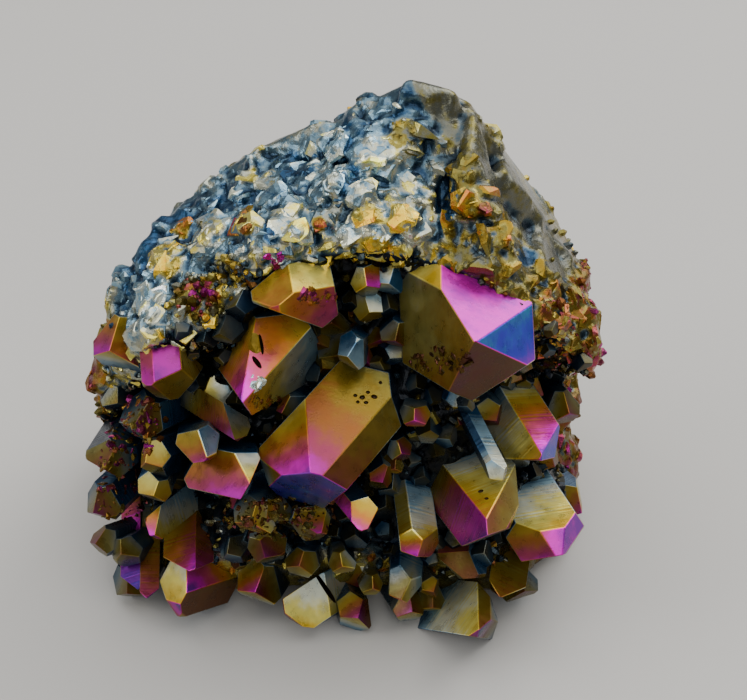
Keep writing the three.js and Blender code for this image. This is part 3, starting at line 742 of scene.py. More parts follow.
def carve(block, marks):
    """Takes the marks away from a crystal; both are in millimetres."""
    tree = BVHTree.FromBMesh(block)
    cutter = bmesh.new()
    layers = [cutter.loops.layers.float.new(n) for n in CORNER_VALUES]
    cutter.faces.layers.int.new("plane")
    axes = Matrix(FIELD_AXES.T.tolist())
    for across, up, wide, tall, deep, turn, *look in marks:
        hit = tree.ray_cast(Vector(field_point([across, up, FRONT])), Vector(-FIELD_AXES[2]))[0]
        turned = axes @ Matrix.Rotation(math.radians(turn), 3, "Z")
        local = turned @ Matrix.Diagonal((wide, tall, deep))
        made = bmesh.ops.create_icosphere(cutter, subdivisions=2, radius=1,
                                          matrix=Matrix.Translation(hit) @ local.to_4x4())
        for vert in made["verts"]:
            for loop in vert.link_loops:
                for layer, value in zip(layers, (look or MARK_LOOK) + MARK_REST):
                    loop[layer] = value
    solids = [add_object(label, to_mesh(solid, label))
              for label, solid in (("crystal", block), ("marks", cutter))]
    cut = solids[0].modifiers.new("cut", "BOOLEAN")
    cut.operation, cut.solver, cut.object = "DIFFERENCE", "EXACT", solids[1]
    cut.use_self = True
    carved = bmesh.new()
    carved.from_object(solids[0], bpy.context.evaluated_depsgraph_get())
    for solid in solids:
        bpy.data.objects.remove(solid)
    return carved


# %% Make the crystals
ROOT_PER_RADIUS = 1.5      # a wide crystal reaches deeper into the rock
points = bmesh.new()
for number, (name, row) in enumerate({**CRYSTALS, **small_rows, **scatter_rows}.items()):
    large = name in CRYSTALS
    root = CRYSTAL_ROOT + (ROOT_PER_RADIUS * row[3] if large else 0)
    block, axis = cut_crystal(row, root, EDGE_ROUND if large else SMALL_EDGE_ROUND)
    if name in FILM:
        slice_block(block)
    paint_crystal(block, name, row, axis, number)
    if name in MARKS:
        block = carve(block, MARKS[name])
        print(name, "has", len(block.faces), "faces after carving")
    pour(in_metres(block), points)
crystals = finish_piece(points, "quartz_points", crystal_finish)

# %% [markdown]
# ## The rock's skin
# Broken rock shows flat facets at several sizes, with dark gaps between them. The rock starts as an
# icosphere that is pushed out to the rock's surface. A voxel remesh then evens out the mesh, so
# that steep walls get as many faces as gentle slopes, and two finer block reliefs move each
# vertex along its own normal. Moving along the normal keeps walls from turning into streaks.
# Its finish takes film and shade from the mesh, with a stronger mottle than the crystals have.

# %% The rock's finish
def coated_rock_material():
    material, tree, shader = new_material("coated rock")
    colour = film_colour(tree, value_of(tree, "film"), value_of(tree, "shade"), 0.3, 520.0)
    crumple = noise_node(tree, 330.0, 5.0, Distortion=1.2)
    rough = range_node(tree, noise_node(tree, 1300.0, 6.0), (0, 1), (0.14, 0.38))
    set_shader(tree, shader, 0.75, colour, rough, crumple, 0.5, 0.0006)
    return material


rock_finish = coated_rock_material()

# %% An even mesh of the rock
# the skyline is worn flat along three lines: a point (across, up) and the way that each faces
SKYLINE = [((11.1, 46.1), (0.255, 0.967)), ((-16.4, 35.2), (-0.357, 0.934)),
           ((-32.5, 23.8), (-0.574, 0.818))]


def trim(body, point, normal):
    """Cuts a closed body with a plane and closes it again."""
    bisect(body, point, normal, clear_outer=True)
    rim = [e for e in body.edges if e.is_boundary]
    if rim:
        bmesh.ops.triangle_fill(body, edges=rim, use_beauty=True)


def even_mesh(body, voxel, rounds):
    """The same closed body with faces of about one size, smoothed a few times; body is used up."""
    rough = add_object("rough body", to_mesh(body, "rough body"))
    remesh = rough.modifiers.new("even", "REMESH")
    remesh.mode, remesh.voxel_size = "VOXEL", voxel
    even = bmesh.new()
    even.from_object(rough, bpy.context.evaluated_depsgraph_get())
    bpy.data.objects.remove(rough)
    smooth_body(even, rounds)
    return even


def smooth_body(body, rounds):
    """Moves each vertex halfway to the mean of its neighbours, a few times."""
    for _ in range(rounds):
        bmesh.ops.smooth_vert(body, verts=body.verts[:], factor=0.5, use_axis_x=True,
                              use_axis_y=True, use_axis_z=True)
    body.normal_update()


def base_rock():
    """The rock's own surface in millimetres."""
    ball = bmesh.new()
    bmesh.ops.create_icosphere(ball, subdivisions=7, radius=1)
    directions = np.array([v.co.normalized() for v in ball.verts])
    for vert, place in zip(ball.verts, rock_surface(directions)[0]):
        vert.co = place
    trim(ball, (0, 0, 0), (0, 0, -1))
    for spot, facing in SKYLINE:
        trim(ball, field_point([*spot, 0]), np.array([*facing, 0]) @ FIELD_AXES)
    return ball


ROCK_VOXEL, ROCK_SMOOTH = 0.52, 6      # mm, and rounds of smoothing
rock = even_mesh(base_rock(), ROCK_VOXEL, ROCK_SMOOTH)
print("even rock:", len(rock.faces), "faces")

# %% [markdown]
# ## Film zones
# The film differs over the rock: silver and blue on the broken top, yellow near the crystals'
# rim, olive on the sheltered right slope, orange and rose at both flanks, and grey on the sawn strip.
# Broad zones are functions of the place. Ledges, gullies and odd lumps are named one by one,
# each with its place and reach in the field's own axes, and a gully also sinks into the rock.

# %% Film zones
# in the spots and zones the shade is partly the rock's own tone and partly painted light and shade
# across, up, half width, half height, film, spread of the film, shade, height in mm
ROCK_SPOTS = {
    "apex": (11.3, 45, 5.5, 2.4, 0.1, 0.04, 0.4, 0),
    "left slab": (-9, 37.8, 9, 2.4, 0.15, 0.06, 0.5, 0.2),
    "gully head": (-0.2, 39.5, 2.2, 2.4, 0.12, 0.05, 0.8, -2),
    "main gully": (1.4, 31.5, 2.3, 5.4, 0.12, 0.05, 0.85, -3),
    "gully arm": (-4.5, 34, 4, 1.3, 0.12, 0.05, 0.75, -2),
    "right gully": (16.9, 25.5, 1.7, 6, 0.11, 0.05, 0.7, -2.6),
    "left gully": (-19.1, 26.6, 2.2, 3.6, 0.12, 0.05, 0.95, -2),
    "low gully": (-10.3, 21, 1.3, 2.4, 0.08, 0.05, 0.6, -1.6),
    "left end": (-29, 25, 4.2, 1.8, 0.1, 0.04, 0.6, 0),
    "left edge": (-32, 20, 1.8, 3.8, 0.1, 0.05, 0.75, 0),
    "white flakes": (-0.8, 36.2, 2.2, 2.4, 0.22, 0.08, 0.9, 1),
    "high flakes": (5, 41, 3.8, 2.2, 0.18, 0.1, 0.7, 0.3),
    "silver ledge": (7, 33.3, 5.4, 4.4, 0.25, 0.16, 1, 1.6),
    "olive knob": (10.8, 36.9, 2.8, 2.6, 0.38, 0.06, 0.35, 1.4),
    "layered ledge": (8.6, 26.8, 7, 3.2, 0.29, 0.16, 0.8, 1),
    "gold bar": (7.4, 23.5, 5.6, 1.9, 0.4, 0.06, 0.95, 1),
    "white band": (5.8, 20.8, 6.5, 1.4, 0.26, 0.14, 1.1, 0.4),
    "gold lumps": (5.6, 18, 5.4, 2.2, 0.42, 0.1, 0.95, 0.8),
    "grey plate": (-1.8, 29.3, 2.6, 3, 0.21, 0.08, 0.6, 0.8),
    "left chips": (-13.1, 30.7, 3.6, 2.2, 0.32, 0.2, 0.85, 0.4),
    "rose lump": (-14.3, 22.2, 1.5, 1.9, 0.49, 0.06, 0.4, 0.8),
    "orange lump": (-26, 22.2, 1.3, 1.5, 0.48, 0.06, 0.6, 0.6),
    "white lumps": (-7, 21.4, 2.8, 2, 0.3, 0.16, 1.15, 0.8),
    "rose chip": (-3, 22.2, 1.3, 1.1, 0.49, 0.06, 0.5, 0.6),
    "pale plates": (-20.7, 21.4, 3.6, 3, 0.27, 0.16, 0.9, 0.6),
    "yellow flake": (-28, 17, 3.2, 3.2, 0.39, 0.05, 0.95, 1.2),
    "white flake": (-30, 11.4, 2.6, 4.2, 0.24, 0.1, 1.15, 1),
    "rose druse": (-22, 10.5, 4.2, 3.6, 0.48, 0.26, 0.36, 0),
    "brown druse": (-17, 14.4, 3.4, 2.4, 0.3, 0.3, 0.4, 0),
    "orange chip": (20.7, 25, 1.8, 2.3, 0.42, 0.08, 0.55, 0.8),
    "red chip": (23, 24.4, 1.2, 1, 0.5, 0.06, 0.28, 0.5),
    "ochre chip": (24.7, 19.8, 2.4, 2.3, 0.42, 0.06, 0.42, 0.8),
    "olive chip": (18.3, 21, 2, 2, 0.4, 0.08, 0.45, 0.6),
    "mauve chips": (29.4, 23.6, 1.3, 3, 0.5, 0.1, 0.28, 0.3),
    "blue hollow": (30, 17.4, 2, 1.7, 0.11, 0.05, 0.6, -0.6),
    "right druse": (34.5, 8, 3.6, 6, 0.42, 0.24, 0.35, 0),
}
# the broad zones: film and its spread, shade and its spread
ZONES = {
    "top": (0.15, 0.2, 0.6, 0.6), "olive slope": (0.37, 0.16, 0.28, 0.24),
    "flank": (0.47, 0.26, 0.38, 0), "back": (0.29, 0.3, 0.55, 0.4), "sawn": (0.3, 0.03, 0.26, 0),
}
RIM_FILM, RIM_REACH = 0.14, 13       # extra film by the rim, and mm above it that this reaches
SAWN_EDGE = list(ROCK_FACES).index("sawn edge")
SAWN_START, SAWN_END = np.array([15.0, 45.0]), np.array([36.0, 17.5])   # across, up
SAWN_WIDTH, SAWN_SOFT, SAWN_BACK = 3.2, 0.6, -22     # half width, its soft edge, and least out
DARK_FILM, CALM = 0.16, 0.8        # a spot with thinner film than this is smooth, by this share
COARSE, FINE = (4.2, 21), (1.9, 41)      # the finer reliefs: size of the blocks and salt
COARSE_HEIGHT, FINE_HEIGHT, SUNK = 1.3, 0.7, 0.3      # mm
FULL_ROUGH = 0.7                         # a face's share of the relief from which it is full


def in_sawn_strip(place):
    """1 on the smooth sawn strip that runs from the apex down the right edge."""
    along = SAWN_END - SAWN_START
    t = np.clip((place[:, :2] - SAWN_START) @ along / (along @ along), 0, 1)
    away = np.linalg.norm(place[:, :2] - SAWN_START - t[:, None] * along, axis=1)
    share = 1 - smoothstep(away, SAWN_WIDTH - SAWN_SOFT, SAWN_WIDTH + SAWN_SOFT)
    return share * (place[:, 2] > SAWN_BACK)


def lay_zone(look, name, vary, film_share, shade_share):
    """Film and shade, changed by the given shares to those of a broad zone."""
    film, film_spread, shade, shade_spread = ZONES[name]
    return (mix(look[0], film + film_spread * vary, film_share),
            mix(look[1], shade + shade_spread * vary, shade_share))


def rock_film(points, blocks):
    """Film, shade, height and smoothness for places, with a random value in 0..1 for each."""
    place, vary = field_place(points), blocks - 0.5
    across, up, out = place.T
    film, shade = lay_zone((0, 0), "top", vary, 1, 1)
    film = film + RIM_FILM * smoothstep(rim_height(across) + RIM_REACH - up, 0, RIM_REACH)
    olive = smoothstep(across, 12, 19)
    film, shade = lay_zone((film, shade), "olive slope", vary, olive, olive)
    height, smooth = np.zeros(len(points)), np.zeros(len(points))
    for a, u, width, tall, spot_film, spread, spot_shade, raised in ROCK_SPOTS.values():
        reach = np.hypot((across - a) / width, (up - u) / tall) + 0.3 * vary
        share = (1 - smoothstep(reach, 0.75, 1.1)) * smoothstep(out, -16, -10)
        film = mix(film, spot_film + spread * vary, share)
        shade = mix(shade, spot_shade * (1 + 0.5 * vary), share)
        height = mix(height, raised, share)
        smooth = mix(smooth, CALM if spot_film < DARK_FILM else 0, share)
    flank = smoothstep(np.abs(across + 1), 34, 40)
    low = 0.5 * smoothstep(20 - points[:, 2], -25, 10)
    back, sawn = smoothstep(points[:, 1], 14, 26), in_sawn_strip(place)
    film, shade = lay_zone((film, shade), "flank", vary, np.maximum(flank, low), flank)
    film, shade = lay_zone((film, shade), "back", vary, back, back)
    film, shade = lay_zone((film, shade), "sawn", vary, sawn, sawn)
    return film, shade, height, np.maximum(smooth, sawn)


def vertex_places(body):
    return np.array([v.co for v in body.verts])


def detail_rock(rock):
    """Moves every vertex of the even rock by finer block relief, along its normal."""
    places = vertex_places(rock)
    directions = unit(places - CORE_CENTRE)
    rough = np.array([row[2] for row in ROCK_FACES.values()])[rock_surface(directions)[1]]
    outward = unit(np.array([v.normal for v in rock.verts]) + 0.7 * directions)
    height, smooth = rock_film(places, np.full(len(places), 0.5))[2:]
    standing = smoothstep(places[:, 2], 0.5, 2.5) * np.minimum(rough, FULL_ROUGH) / FULL_ROUGH
    coarse, fine = block_relief(places, *COARSE)[0], block_relief(places, *FINE)[0]
    relief = COARSE_HEIGHT * coarse + FINE_HEIGHT * fine - SUNK
    step = standing * (relief * (1 - smooth) + height * (1 - inside_field(places)))
    moved = places + outward * step[:, None]
    moved[:, 2] = np.where(places[:, 2] < 0.4, 0, np.maximum(moved[:, 2], 0))   # the foot stays flat
    for vert, place in zip(rock.verts, moved):
        vert.co = place
    rock.normal_update()


def sites(rock):
    """Middle, outward direction and area of every face, and the rock as a tree for rays."""
    rows = [(f.calc_center_median(), f.normal.copy(), f.calc_area()) for f in rock.faces]
    return [np.array([row[n] for row in rows]) for n in range(3)] + [BVHTree.FromBMesh(rock)]


detail_rock(rock)
spots, looks, areas, rock_tree = sites(rock)
print("the rock is", spots[:, 2].max().round(1), "mm tall")

# %% [markdown]
# ## Chips on the rock
# The broken top is a jumble of flakes that are grown into each other, from the size of a grain of
# sand to that of a pea. They could be sculpted one by one, but a few shapes are enough: each is a
# flat block with its corners cut off by random planes, and it is placed hundreds of times along
# the rock, each time with its own size, tilt and turn.

# %% Chip shapes
chance = random.Random(5)
CHIP_HEIGHT, CHIP_KINDS = 0.36, 12


def chip_shape():
    """A low flake about 1 mm across: steep cuts make its outline and gentle ones its top."""
    chip = bmesh.new()
    wide = chance.uniform(0.6, 0.9)
    bmesh.ops.create_cube(chip, size=1, matrix=Matrix.Diagonal((1, wide, CHIP_HEIGHT, 1)))
    outline = [((math.cos(a), math.sin(a), chance.uniform(0.1, 0.6)), chance.uniform(0.3, 0.45))
               for a in [chance.uniform(0, 2 * math.pi) for _ in range(8)]]
    top = [((chance.gauss(0, 0.3), chance.gauss(0, 0.3), 1), chance.uniform(0.09, 0.16))
           for _ in range(5)]
    for look, distance in outline + top:
        look = Vector(look).normalized()
        rim = edges_of(bisect(chip, look * distance, look, clear_outer=True))
        if len(rim) > 2:
            bmesh.ops.contextual_create(chip, geom=rim)
    bmesh.ops.triangulate(chip, faces=chip.faces[:])
    bmesh.ops.recalc_face_normals(chip, faces=chip.faces[:])
    return to_mesh(chip, "chip shape")


def tiny_point_shape():
    """A six-sided point, 1 mm across, from an inset top on a prism."""
    point = bmesh.new()
    bmesh.ops.create_cone(point, cap_ends=True, segments=6, radius1=0.5, radius2=0.5, depth=1.2)
    top = [f for f in point.faces if f.normal.z > 0.9]
    bmesh.ops.inset_region(point, faces=top, thickness=0.38, depth=0.42)
    bmesh.ops.triangulate(point, faces=point.faces[:])
    return to_mesh(point, "tiny point shape")


chips = [chip_shape() for _ in range(CHIP_KINDS)]
tiny_point = tiny_point_shape()
print("chip shapes:", [len(c.polygons) for c in chips], "tiny point:", len(tiny_point.polygons))

# %% Placing them
def joined(parts):
    """Sets of shapes as one: corners, triangles, and which shape each corner belongs to."""
    verts, faces, owners, corners, shapes = [], [], [], 0, 0
    for part_verts, part_faces, owner in parts:
        verts.append(part_verts)
        faces.append(part_faces + corners)
        owners.append(owner + shapes)
        corners += len(part_verts)
        shapes += owner.max() + 1
    return [np.concatenate(rows) for rows in (verts, faces, owners)]


def settle(places, normals, shapes, sizes, tilt, sink):
    """One of the shapes at each place, in mm, tilted and turned at random."""
    shapes = [(np.array([v.co for v in shape.vertices]),
               np.array([p.vertices for p in shape.polygons])) for shape in shapes]
    parts = []
    for place, normal, across in zip(places, normals, sizes):
        lean = Vector([chance.gauss(0, math.tan(math.radians(tilt)) / 2) for _ in range(3)])
        turn = (Vector(normal) + lean).to_track_quat("Z", "Y").to_matrix()
        turn = np.array(turn @ Matrix.Rotation(chance.uniform(0, 2 * math.pi), 3, "Z"))
        corners, triangles = shapes[chance.randrange(len(shapes))]
        body = corners * (across, across * chance.uniform(0.7, 1.2), across)
        verts = body @ turn.T + place + normal * across * sink
        parts.append((verts, triangles, np.zeros(len(verts), int)))
    return joined(parts)


def random_sizes(count, smallest, largest, power=2.2):
    """Sizes in mm, most of them near the smallest."""
    return [smallest + (largest - smallest) * chance.random() ** power for _ in range(count)]


def scatter(weights, shapes, sizes, tilt, sink):
    """Settles shapes at random on the rock's faces, turned between its face and its broad slope."""
    picked = chance.choices(range(len(spots)), weights=weights, k=len(sizes))
    outward = spots[picked] - CORE_CENTRE
    broad = unit(looks[picked] + 0.8 * outward / np.linalg.norm(outward, axis=1)[:, None])
    return spots[picked], settle(spots[picked], broad, shapes, sizes, tilt, sink)


def plain_mesh(verts, faces, name):
    mesh = bpy.data.meshes.new(name)
    mesh.from_pydata(verts.tolist(), [], faces.tolist())
    return mesh


def loose_piece(settled, films, shades, name):
    """A piece of loose grains, with a film and a shade for each grain."""
    verts, faces, owner = settled
    mesh = plain_mesh(verts * MM, faces, name)
    for label, values in (("film", films), ("shade", shades)):
        mesh.attributes.new(label, "FLOAT", "POINT").data.foreach_set("value", values[owner])
    whole = bmesh.new()
    pour(mesh, whole)
    return finish_piece(whole, name, rock_finish)


# %% Flakes, grit and chips along the rim
TOP_START, TOP_FULL, TOP_BACK = 34, 44, 14      # mm up, mm up, and mm towards the back
inside = inside_field(spots)
sawn = rock_surface(unit(spots - CORE_CENTRE))[1] == SAWN_EDGE
_, _, raised, smooth = rock_film(spots, np.full(len(spots), 0.5))
high = smoothstep(spots[:, 2], TOP_START, TOP_FULL) * (spots[:, 1] < TOP_BACK)
bare = (~sawn) * (smooth < 0.3) * (spots[:, 2] > 6)
chip_weight = areas * (1 - inside) * (0.35 + high) * bare * (1 + 0.8 * (raised > 0.3))
rim_band = areas * (inside > 0.1) * (inside < 0.98) * (spots[:, 2] > 25)
# where, how many, smallest and largest in mm, tilt in degrees, sunk by this share of their size
LOOSE = [(chip_weight, 2400, 1.4, 5.5, 16, -0.02), (chip_weight, 1000, 1, 2, 35, 0.0),
         (rim_band, 420, 1.5, 4.5, 25, 0.0)]
loose = [scatter(weights, chips, random_sizes(count, smallest, largest), tilt, sink)[1]
         for weights, count, smallest, largest, tilt, sink in LOOSE]
print("triangles of the flakes:", [len(faces) for _, faces, _ in loose])

# %% [markdown]
# ## Slabs
# The largest flakes give the broken top its character, so they are named one by one. Each is put
# where a line along the field's out axis first meets the cluster, so it rests on whatever is
# outermost there, rock or crystal.

# %% What lies outermost
crystal_tree = BVHTree.FromPolygons([v.co / MM for v in crystals.data.vertices],
                                    [p.vertices for p in crystals.data.polygons])
OUT = Vector(FIELD_AXES[2])


def outermost(across, up):
    """Place in mm and outward normal of the first surface that a line from the front meets."""
    start = Vector(field_point([across, up, FRONT]))
    hits = [tree.ray_cast(start, -OUT) for tree in (rock_tree, crystal_tree)]
    hits = [hit for hit in hits if hit[0] is not None]
    if not hits:
        return None
    place, normal, _, _ = min(hits, key=lambda hit: hit[3])
    return np.array(place), np.array(normal if normal.dot(OUT) > 0 else -normal)


print("the field's middle is", (outermost(0, 0)[0] - CORE_CENTRE).round(1), "from the core")

# %% Large slabs on the rock: across, up, size
SLABS = [
    (-28, 17, 5.5), (-30, 11.5, 6), (-29, 14, 4.5), (5, 34, 5.5), (8.5, 32, 5.5), (10.8, 37, 4.4),
    (4, 23.5, 4.8), (9.5, 23.4, 5.2), (2.5, 18.2, 3.4), (7, 17.8, 4.4), (-8.4, 21.3, 3.2),
    (-5.6, 20.7, 3.6), (20.7, 25, 3.8), (24.7, 19.8, 5), (18.3, 21, 3.8), (-14.3, 22.2, 3.2),
    (-1.8, 29.3, 5), (-22, 21.6, 3.8), (-19, 21, 4.2), (-26, 22.2, 2.8), (-1.5, 36.5, 3.2),
    (0.8, 35.6, 3.4), (4, 26.5, 5.2), (9, 27.5, 6), (13, 26, 4.6), (-12, 31, 3), (-14.5, 30, 2.6),
    (-3, 22.4, 2.6), (29.4, 24.5, 2.4), (14.5, 22.5, 3.4), (0.5, 21, 3.6),
]
SLAB_GROWTH = 1.1
landed = [outermost(a, u) for a, u, _ in SLABS]
places, normals = (np.array([spot[n] for spot in landed]) for n in (0, 1))
normals = unit(normals + 0.8 * (places - CORE_CENTRE) / 40)
loose.append(settle(places, normals, chips, [SLAB_GROWTH * size for _, _, size in SLABS], 16, 0.0))
corners, faces, owner = joined(loose)
print("slabs:", len(SLABS))

# %% [markdown]
# ## One skin
# Flakes of real rock are parts of it, with no gap under them. A voxel remesh fuses rock and flakes
# into one closed skin. How far each vertex stands above a smoothed copy then tells hollows from
# heights: every hollow gets the thin film's deep blue and painted shade, and every height a thicker
# film and painted light. The remesh rounds the flakes' edges a little, so the same flakes are kept
# as a piece of their own that shows through the skin.

# %% Hollows and heights
HOLLOW_ROUNDS = 12                 # how far the surface is smoothed to tell them apart
HOLLOW, HEIGHT = 0.22, 0.35        # mm below and above that, where each is full
# painted shade in the hollows and painted light on the heights
HOLLOW_FILM, HOLLOW_PAINTED_SHADE, HEIGHT_PAINTED_LIGHT = 0.1, 0.6, 0.35


def standing_above(rock):
    """How far each vertex stands above the smoothed surface, in mm."""
    flat = rock.copy()
    smooth_body(flat, HOLLOW_ROUNDS)
    away = [(vert.co - even.co).dot(vert.normal) for vert, even in zip(rock.verts, flat.verts)]
    flat.free()
    return np.array(away)


def hollow_film_and_painted_shade(film, shade, above):
    """Hollows get the thin blue film and painted shade, heights a thicker film and painted light."""
    hollow, high = smoothstep(-above, 0.02, HOLLOW), smoothstep(above, 0.05, HEIGHT)
    film = mix(film + 0.06 * high, np.minimum(film, HOLLOW_FILM), 0.85 * hollow)
    return film, shade * (1 - HOLLOW_PAINTED_SHADE * hollow) * (1 + HEIGHT_PAINTED_LIGHT * high)


def coat_rock(rock, above):
    """Film and shade on every vertex of the fused rock."""
    places = vertex_places(rock)
    values = [block_relief(places, *relief)[1] for relief in ((BLOCK, 1), COARSE, FINE)]
    film, shade, _, _ = rock_film(places, 0.3 * values[0] + 0.35 * values[1] + 0.35 * values[2])
    film, shade = hollow_film_and_painted_shade(film, shade, above)
    # inside the crystal field the skin gets a thin film and painted shade, almost black between the
    # crystals
    inside = smoothstep(inside_field(places), 0.6, 0.95)
    film = mix(film, 0.03 + 0.06 * values[1], inside)
    shade = SKIN_SHADE * shade * (1 - 0.96 * inside)
    layers = [rock.verts.layers.float.new(n) for n in ("film", "shade")]
    for vert, f, s in zip(rock.verts, film, shade):
        vert[layers[0]], vert[layers[1]] = f, s


def flake_film(corners, owner, rock, above):
    """Film and shade for the corners of the flakes, which show through the fused skin."""
    near = KDTree(len(rock.verts))
    for n, vert in enumerate(rock.verts):
        near.insert(vert.co, n)
    near.balance()
    there = above[[near.find(corner)[1] for corner in corners]]
    count = owner.max() + 1
    middles = np.stack([np.bincount(owner, corners[:, a], count) for a in range(3)], axis=1)
    middles /= np.bincount(owner, minlength=count)[:, None]
    value = np.array([chance.random() for _ in range(count)])
    film, shade, _, _ = rock_film(middles, value)
    shade = shade * (0.7 + 0.5 * value)
    return hollow_film_and_painted_shade(film[owner], shade[owner], there)


# %% Fuse the rock and its flakes
FUSE_VOXEL, FUSE_SMOOTH = 0.49, 1      # mm, and rounds of smoothing
SKIN_SHADE = 0.6                       # the skin is darker than the flakes that show through it
pour(plain_mesh(corners, faces, "flakes"), rock)
rock = even_mesh(rock, FUSE_VOXEL, FUSE_SMOOTH)
print("fused rock:", len(rock.faces), "faces")
above = standing_above(rock)
coat_rock(rock, above)
loose_piece((corners, faces, np.arange(len(corners))), *flake_film(corners, owner, rock, above),
            "rock_flakes")
spots, looks, areas, rock_tree = sites(rock)
inside = inside_field(spots)

# %% Part the skin in two pieces
SEAM = 36.0          # mm up, where the skin is parted because one piece would be too large
LEVEL = 0.9999       # a face that looks up or down more than this is a cap or the foot
skin_normal = rock.verts.layers.float_vector.new("skin normal")
for vert in rock.verts:
    vert[skin_normal] = vert.normal


def shade_as_whole(mesh):
    """Gives a part of the skin the normals from before the parting, so that no seam shows."""
    layer = mesh.attributes["skin normal"]
    at_verts = np.empty(3 * len(mesh.vertices))
    layer.data.foreach_get("vector", at_verts)
    at_verts = at_verts.reshape(-1, 3)
    at_verts /= np.maximum(np.linalg.norm(at_verts, axis=1), 1e-9)[:, None]
    corner_verts = np.empty(len(mesh.loops), dtype=int)
    mesh.loops.foreach_get("vertex_index", corner_verts)
    at_corners = at_verts[corner_verts]
    for face in mesh.polygons:
        if not face.use_smooth:
            at_corners[face.loop_start:face.loop_start + face.loop_total] = 0
    mesh.attributes.remove(layer)
    mesh.normals_split_custom_set(at_corners.tolist())


for name, facing in (("broken_rock", -1), ("rock_foot", 1)):
    part = rock.copy()
    trim(part, (0, 0, SEAM), (0, 0, facing))
    for face in part.faces:
        face.smooth = abs(face.normal.z) < LEVEL
    part.transform(Matrix.Scale(MM, 4))
    shade_as_whole(finish_piece(part, name, rock_finish).data)
rock.free()

# %% [markdown]
# ## Druse
# Druse is a lawn of tiny quartz points. It grows in sheltered places: on two patches at the left,
# along both flanks, and on the floor of the field between the large crystals. One tiny point is
# settled many times, because at this size only its glitter shows.

# %% The druse
DRUSE_COUNT, DRUSE_SIZES, DRUSE_TILT, DRUSE_SINK = 1300, (0.7, 1.7), 35, -0.1
FLANK_WEIGHT, FLOOR_WEIGHT, PATCH_WEIGHT = 0.07, 0.3, 1.5


def druse_film(points, value):
    film, shade, _, _ = rock_film(points, value)
    # on the field's floor the druse gets a thin film and painted shade, darker between the crystals
    field = smoothstep(inside_field(points), 0.4, 0.9)
    film = mix(film, 0.08 + 0.4 * value ** 2, field)
    return film + 0.1 * (value - 0.5), shade * (0.25 + 0.6 * value) * (1 - 0.7 * field)


def on_spot(name):
    """1 on a named spot of the rock, and 0 well outside it."""
    a, u, width, tall = ROCK_SPOTS[name][:4]
    across, up, _ = field_place(spots).T
    return 1 - smoothstep(np.hypot((across - a) / width, (up - u) / tall), 0.8, 1.3)


patches = np.maximum(on_spot("rose druse"), on_spot("brown druse"))
flanks = FLANK_WEIGHT * areas * smoothstep(np.abs(spots[:, 0] + 1), 30, 37) * (spots[:, 2] > 8)
floors = areas * (inside > 0.5) * (spots[:, 2] > 6)
druse_weight = flanks + FLOOR_WEIGHT * floors + PATCH_WEIGHT * areas * patches * (spots[:, 1] < 5)
where, settled = scatter(druse_weight, [tiny_point], random_sizes(DRUSE_COUNT, *DRUSE_SIZES),
                         DRUSE_TILT, DRUSE_SINK)
loose_piece(settled, *druse_film(where, np.array([chance.random() for _ in where])), "druse")

# %% [markdown]
# ## Points in the hollows
# Between the large crystals, smaller ones fill every gap. Random places are tried, and a crystal
# is cut there if the rock still shows and no other stands too near.

# %% Points that fill the hollows
FILL_TRIES, FILL_GAP = 1400, 3.0
FILL_ROOT, FILL_NUMBER = 8, 400      # mm under the tip, and the first of their numbers
FILL_RISE, FILL_RADIUS = (2, 2), (1.2, 1.4)      # mm: least and spread
FILL_SPLAY, FILL_NOD, FILL_SPREAD = 0.4, 10, 12      # degrees per mm, degrees down, degrees
FILL_LOWEST, FILL_INSIDE, TOUCH = 5, 0.6, 0.01   # mm up, share of the field's depth, mm


def fill_points():
    """Small crystals wherever the rock still shows between the larger ones."""
    rows = []
    for n in range(FILL_TRIES):
        place = [chance.uniform(-40, 40), chance.uniform(-42, 11)]
        spot = outermost(*place)
        if spot is None or spot[0][2] < FILL_LOWEST or inside_field(spot[0][None])[0] < FILL_INSIDE:
            continue
        on_rock = rock_tree.find_nearest(Vector(spot[0]))[3] < TOUCH
        if not on_rock or any(math.dist(place, row[0][:2]) < FILL_GAP for row in rows):
            continue
        size = chance.random() ** 1.5
        tip = field_place(spot[0]) + [0, 0, FILL_RISE[0] + FILL_RISE[1] * size]
        lean = [FILL_SPLAY * place[0] + chance.gauss(0, FILL_SPREAD),
                FILL_NOD + chance.gauss(0, FILL_SPREAD)]
        radius = FILL_RADIUS[0] + FILL_RADIUS[1] * size
        rows.append(small_crystal(tip, radius, chance.uniform(0, 60), n + FILL_NUMBER, lean))
    return rows


filling = bmesh.new()
fill_rows = fill_points()
for n, row in enumerate(fill_rows):
    block, axis = cut_crystal(row, FILL_ROOT, FILL_EDGE_ROUND)
    paint_crystal(block, "fill", row, axis, n + FILL_NUMBER)
    pour(in_metres(block), filling)
finish_piece(filling, "fill_points", crystal_finish)
print("filled with", len(fill_rows), "small points")

# %% [markdown]
# ## Crusts
# Small rough crusts cling to some of the large crystals: a scar, a sugary spot, scree at a foot.
# Each is a named ellipse of the field that chips are dropped on, so that they follow whatever
# surface lies outermost.

# %% Crusts: across, up, half width, half height, film, its spread, shade, count
CRUSTS = {
    "white sugar": (-12.3, -2.3, 1.2, 1, 0.24, 0.1, 1.1, 16),
    "brown foot": (-11.5, -5.3, 2.6, 1.2, 0.48, 0.12, 0.2, 26),
    "pink's scar": (15.9, 0.8, 4.6, 2.2, 0.5, 0.1, 0.1, 60),
    "top's corner": (-3.2, 10.6, 3, 1, 0.56, 0.2, 0.35, 34),
    "top's spot": (-9.4, 16.4, 1.3, 0.9, 0.66, 0.1, 0.5, 14),
    "snout's scree": (-10, -24.8, 11, 3.6, 0.47, 0.2, 0.14, 230),
    "left flank": (-33.5, -10, 5.5, 5, 0.52, 0.26, 0.25, 130),
    "right flank": (35, 7, 3, 8, 0.46, 0.24, 0.35, 50),
    "low flank": (-37, -20, 4, 7, 0.52, 0.26, 0.2, 90),
}
CRUST_GRAIN, CRUST_TILT, CRUST_SINK = (0.6, 2.2, 1.2), 30, -0.05
places, normals, films, shades = [], [], [], []
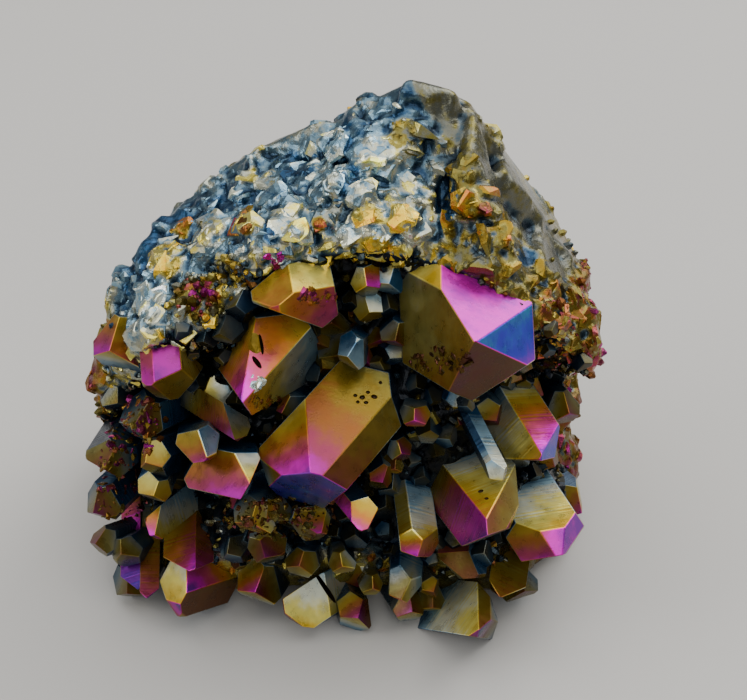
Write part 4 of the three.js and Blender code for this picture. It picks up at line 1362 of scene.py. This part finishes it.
for a, u, width, tall, film, spread, shade, count in CRUSTS.values():
    for _ in range(count):
        far, angle = math.sqrt(chance.random()), chance.uniform(0, 2 * math.pi)
        spot = outermost(a + width * far * math.cos(angle), u + tall * far * math.sin(angle))
        if spot:
            places.append(spot[0])
            normals.append(spot[1])
            films.append(film + spread * (chance.random() - 0.5))
            shades.append(shade * chance.uniform(0.5, 1.5))
sizes = random_sizes(len(places), *CRUST_GRAIN)
settled = settle(np.array(places), np.array(normals), chips, sizes, CRUST_TILT, CRUST_SINK)
loose_piece(settled, np.array(films), np.array(shades), "crusts")

# %% [markdown]
# ## Floor, light and camera
# A pale floor and large soft lights above and behind show a metal film best, because each flat
# face then mirrors either a bright or a dim part of the room.

# %% Floor
floor_paint, _, paint = new_material("pale floor")
paint["Base Color"].default_value = (0.5, 0.48, 0.45, 1)
paint["Roughness"].default_value = 0.8
sheet = bmesh.new()
bmesh.ops.create_grid(sheet, x_segments=1, y_segments=1, size=1.5)
floor = add_object("floor", to_mesh(sheet, "floor"))
floor.data.materials.append(floor_paint)
print("floor is", floor.dimensions.x, "m wide")

# %% Lights: place in metres, size in metres, power in watts
LIGHTS = {
    "sky": ((0.05, 0.1, 0.65), 1.1, 6),
    "window": ((0.5, 0.5, 0.5), 0.7, 4),
    "left fill": ((-0.55, -0.1, 0.35), 0.3, 1.2),
    "front fill": ((0.1, -0.6, 0.45), 0.5, 1.5),
}
AIM = Vector((0, 0, 0.04))
for name, (place, size, power) in LIGHTS.items():
    lamp = add_object(name, bpy.data.lights.new(name, "AREA"))
    lamp.data.shape, lamp.data.size, lamp.data.energy = "DISK", size, power
    lamp.location = place
    lamp.rotation_euler = (AIM - Vector(place)).to_track_quat("-Z", "Y").to_euler()
world = bpy.data.worlds.new("room")
world.use_nodes = True
room = world.node_tree.nodes["Background"].inputs
room["Color"].default_value = (0.8, 0.85, 0.9, 1)
room["Strength"].default_value = 0.3
bpy.context.scene.world = world
print("lights:", len(LIGHTS))

# %% Camera
SENSOR = 36                     # mm
VIEW_WIDTH, VIEW_REACH = 747, 1800      # the view is this wide at this distance
lens = bpy.data.cameras.new("camera")
lens.sensor_width, lens.lens = SENSOR, SENSOR * VIEW_REACH / VIEW_WIDTH
camera = add_object("camera", lens)
camera.location = field_point([5.58, 2.5, 300]) * MM
camera.rotation_euler = (math.pi / 2 - FIELD_TILT, 0, 0)
bpy.context.scene.camera = camera
print("camera at", camera.location)
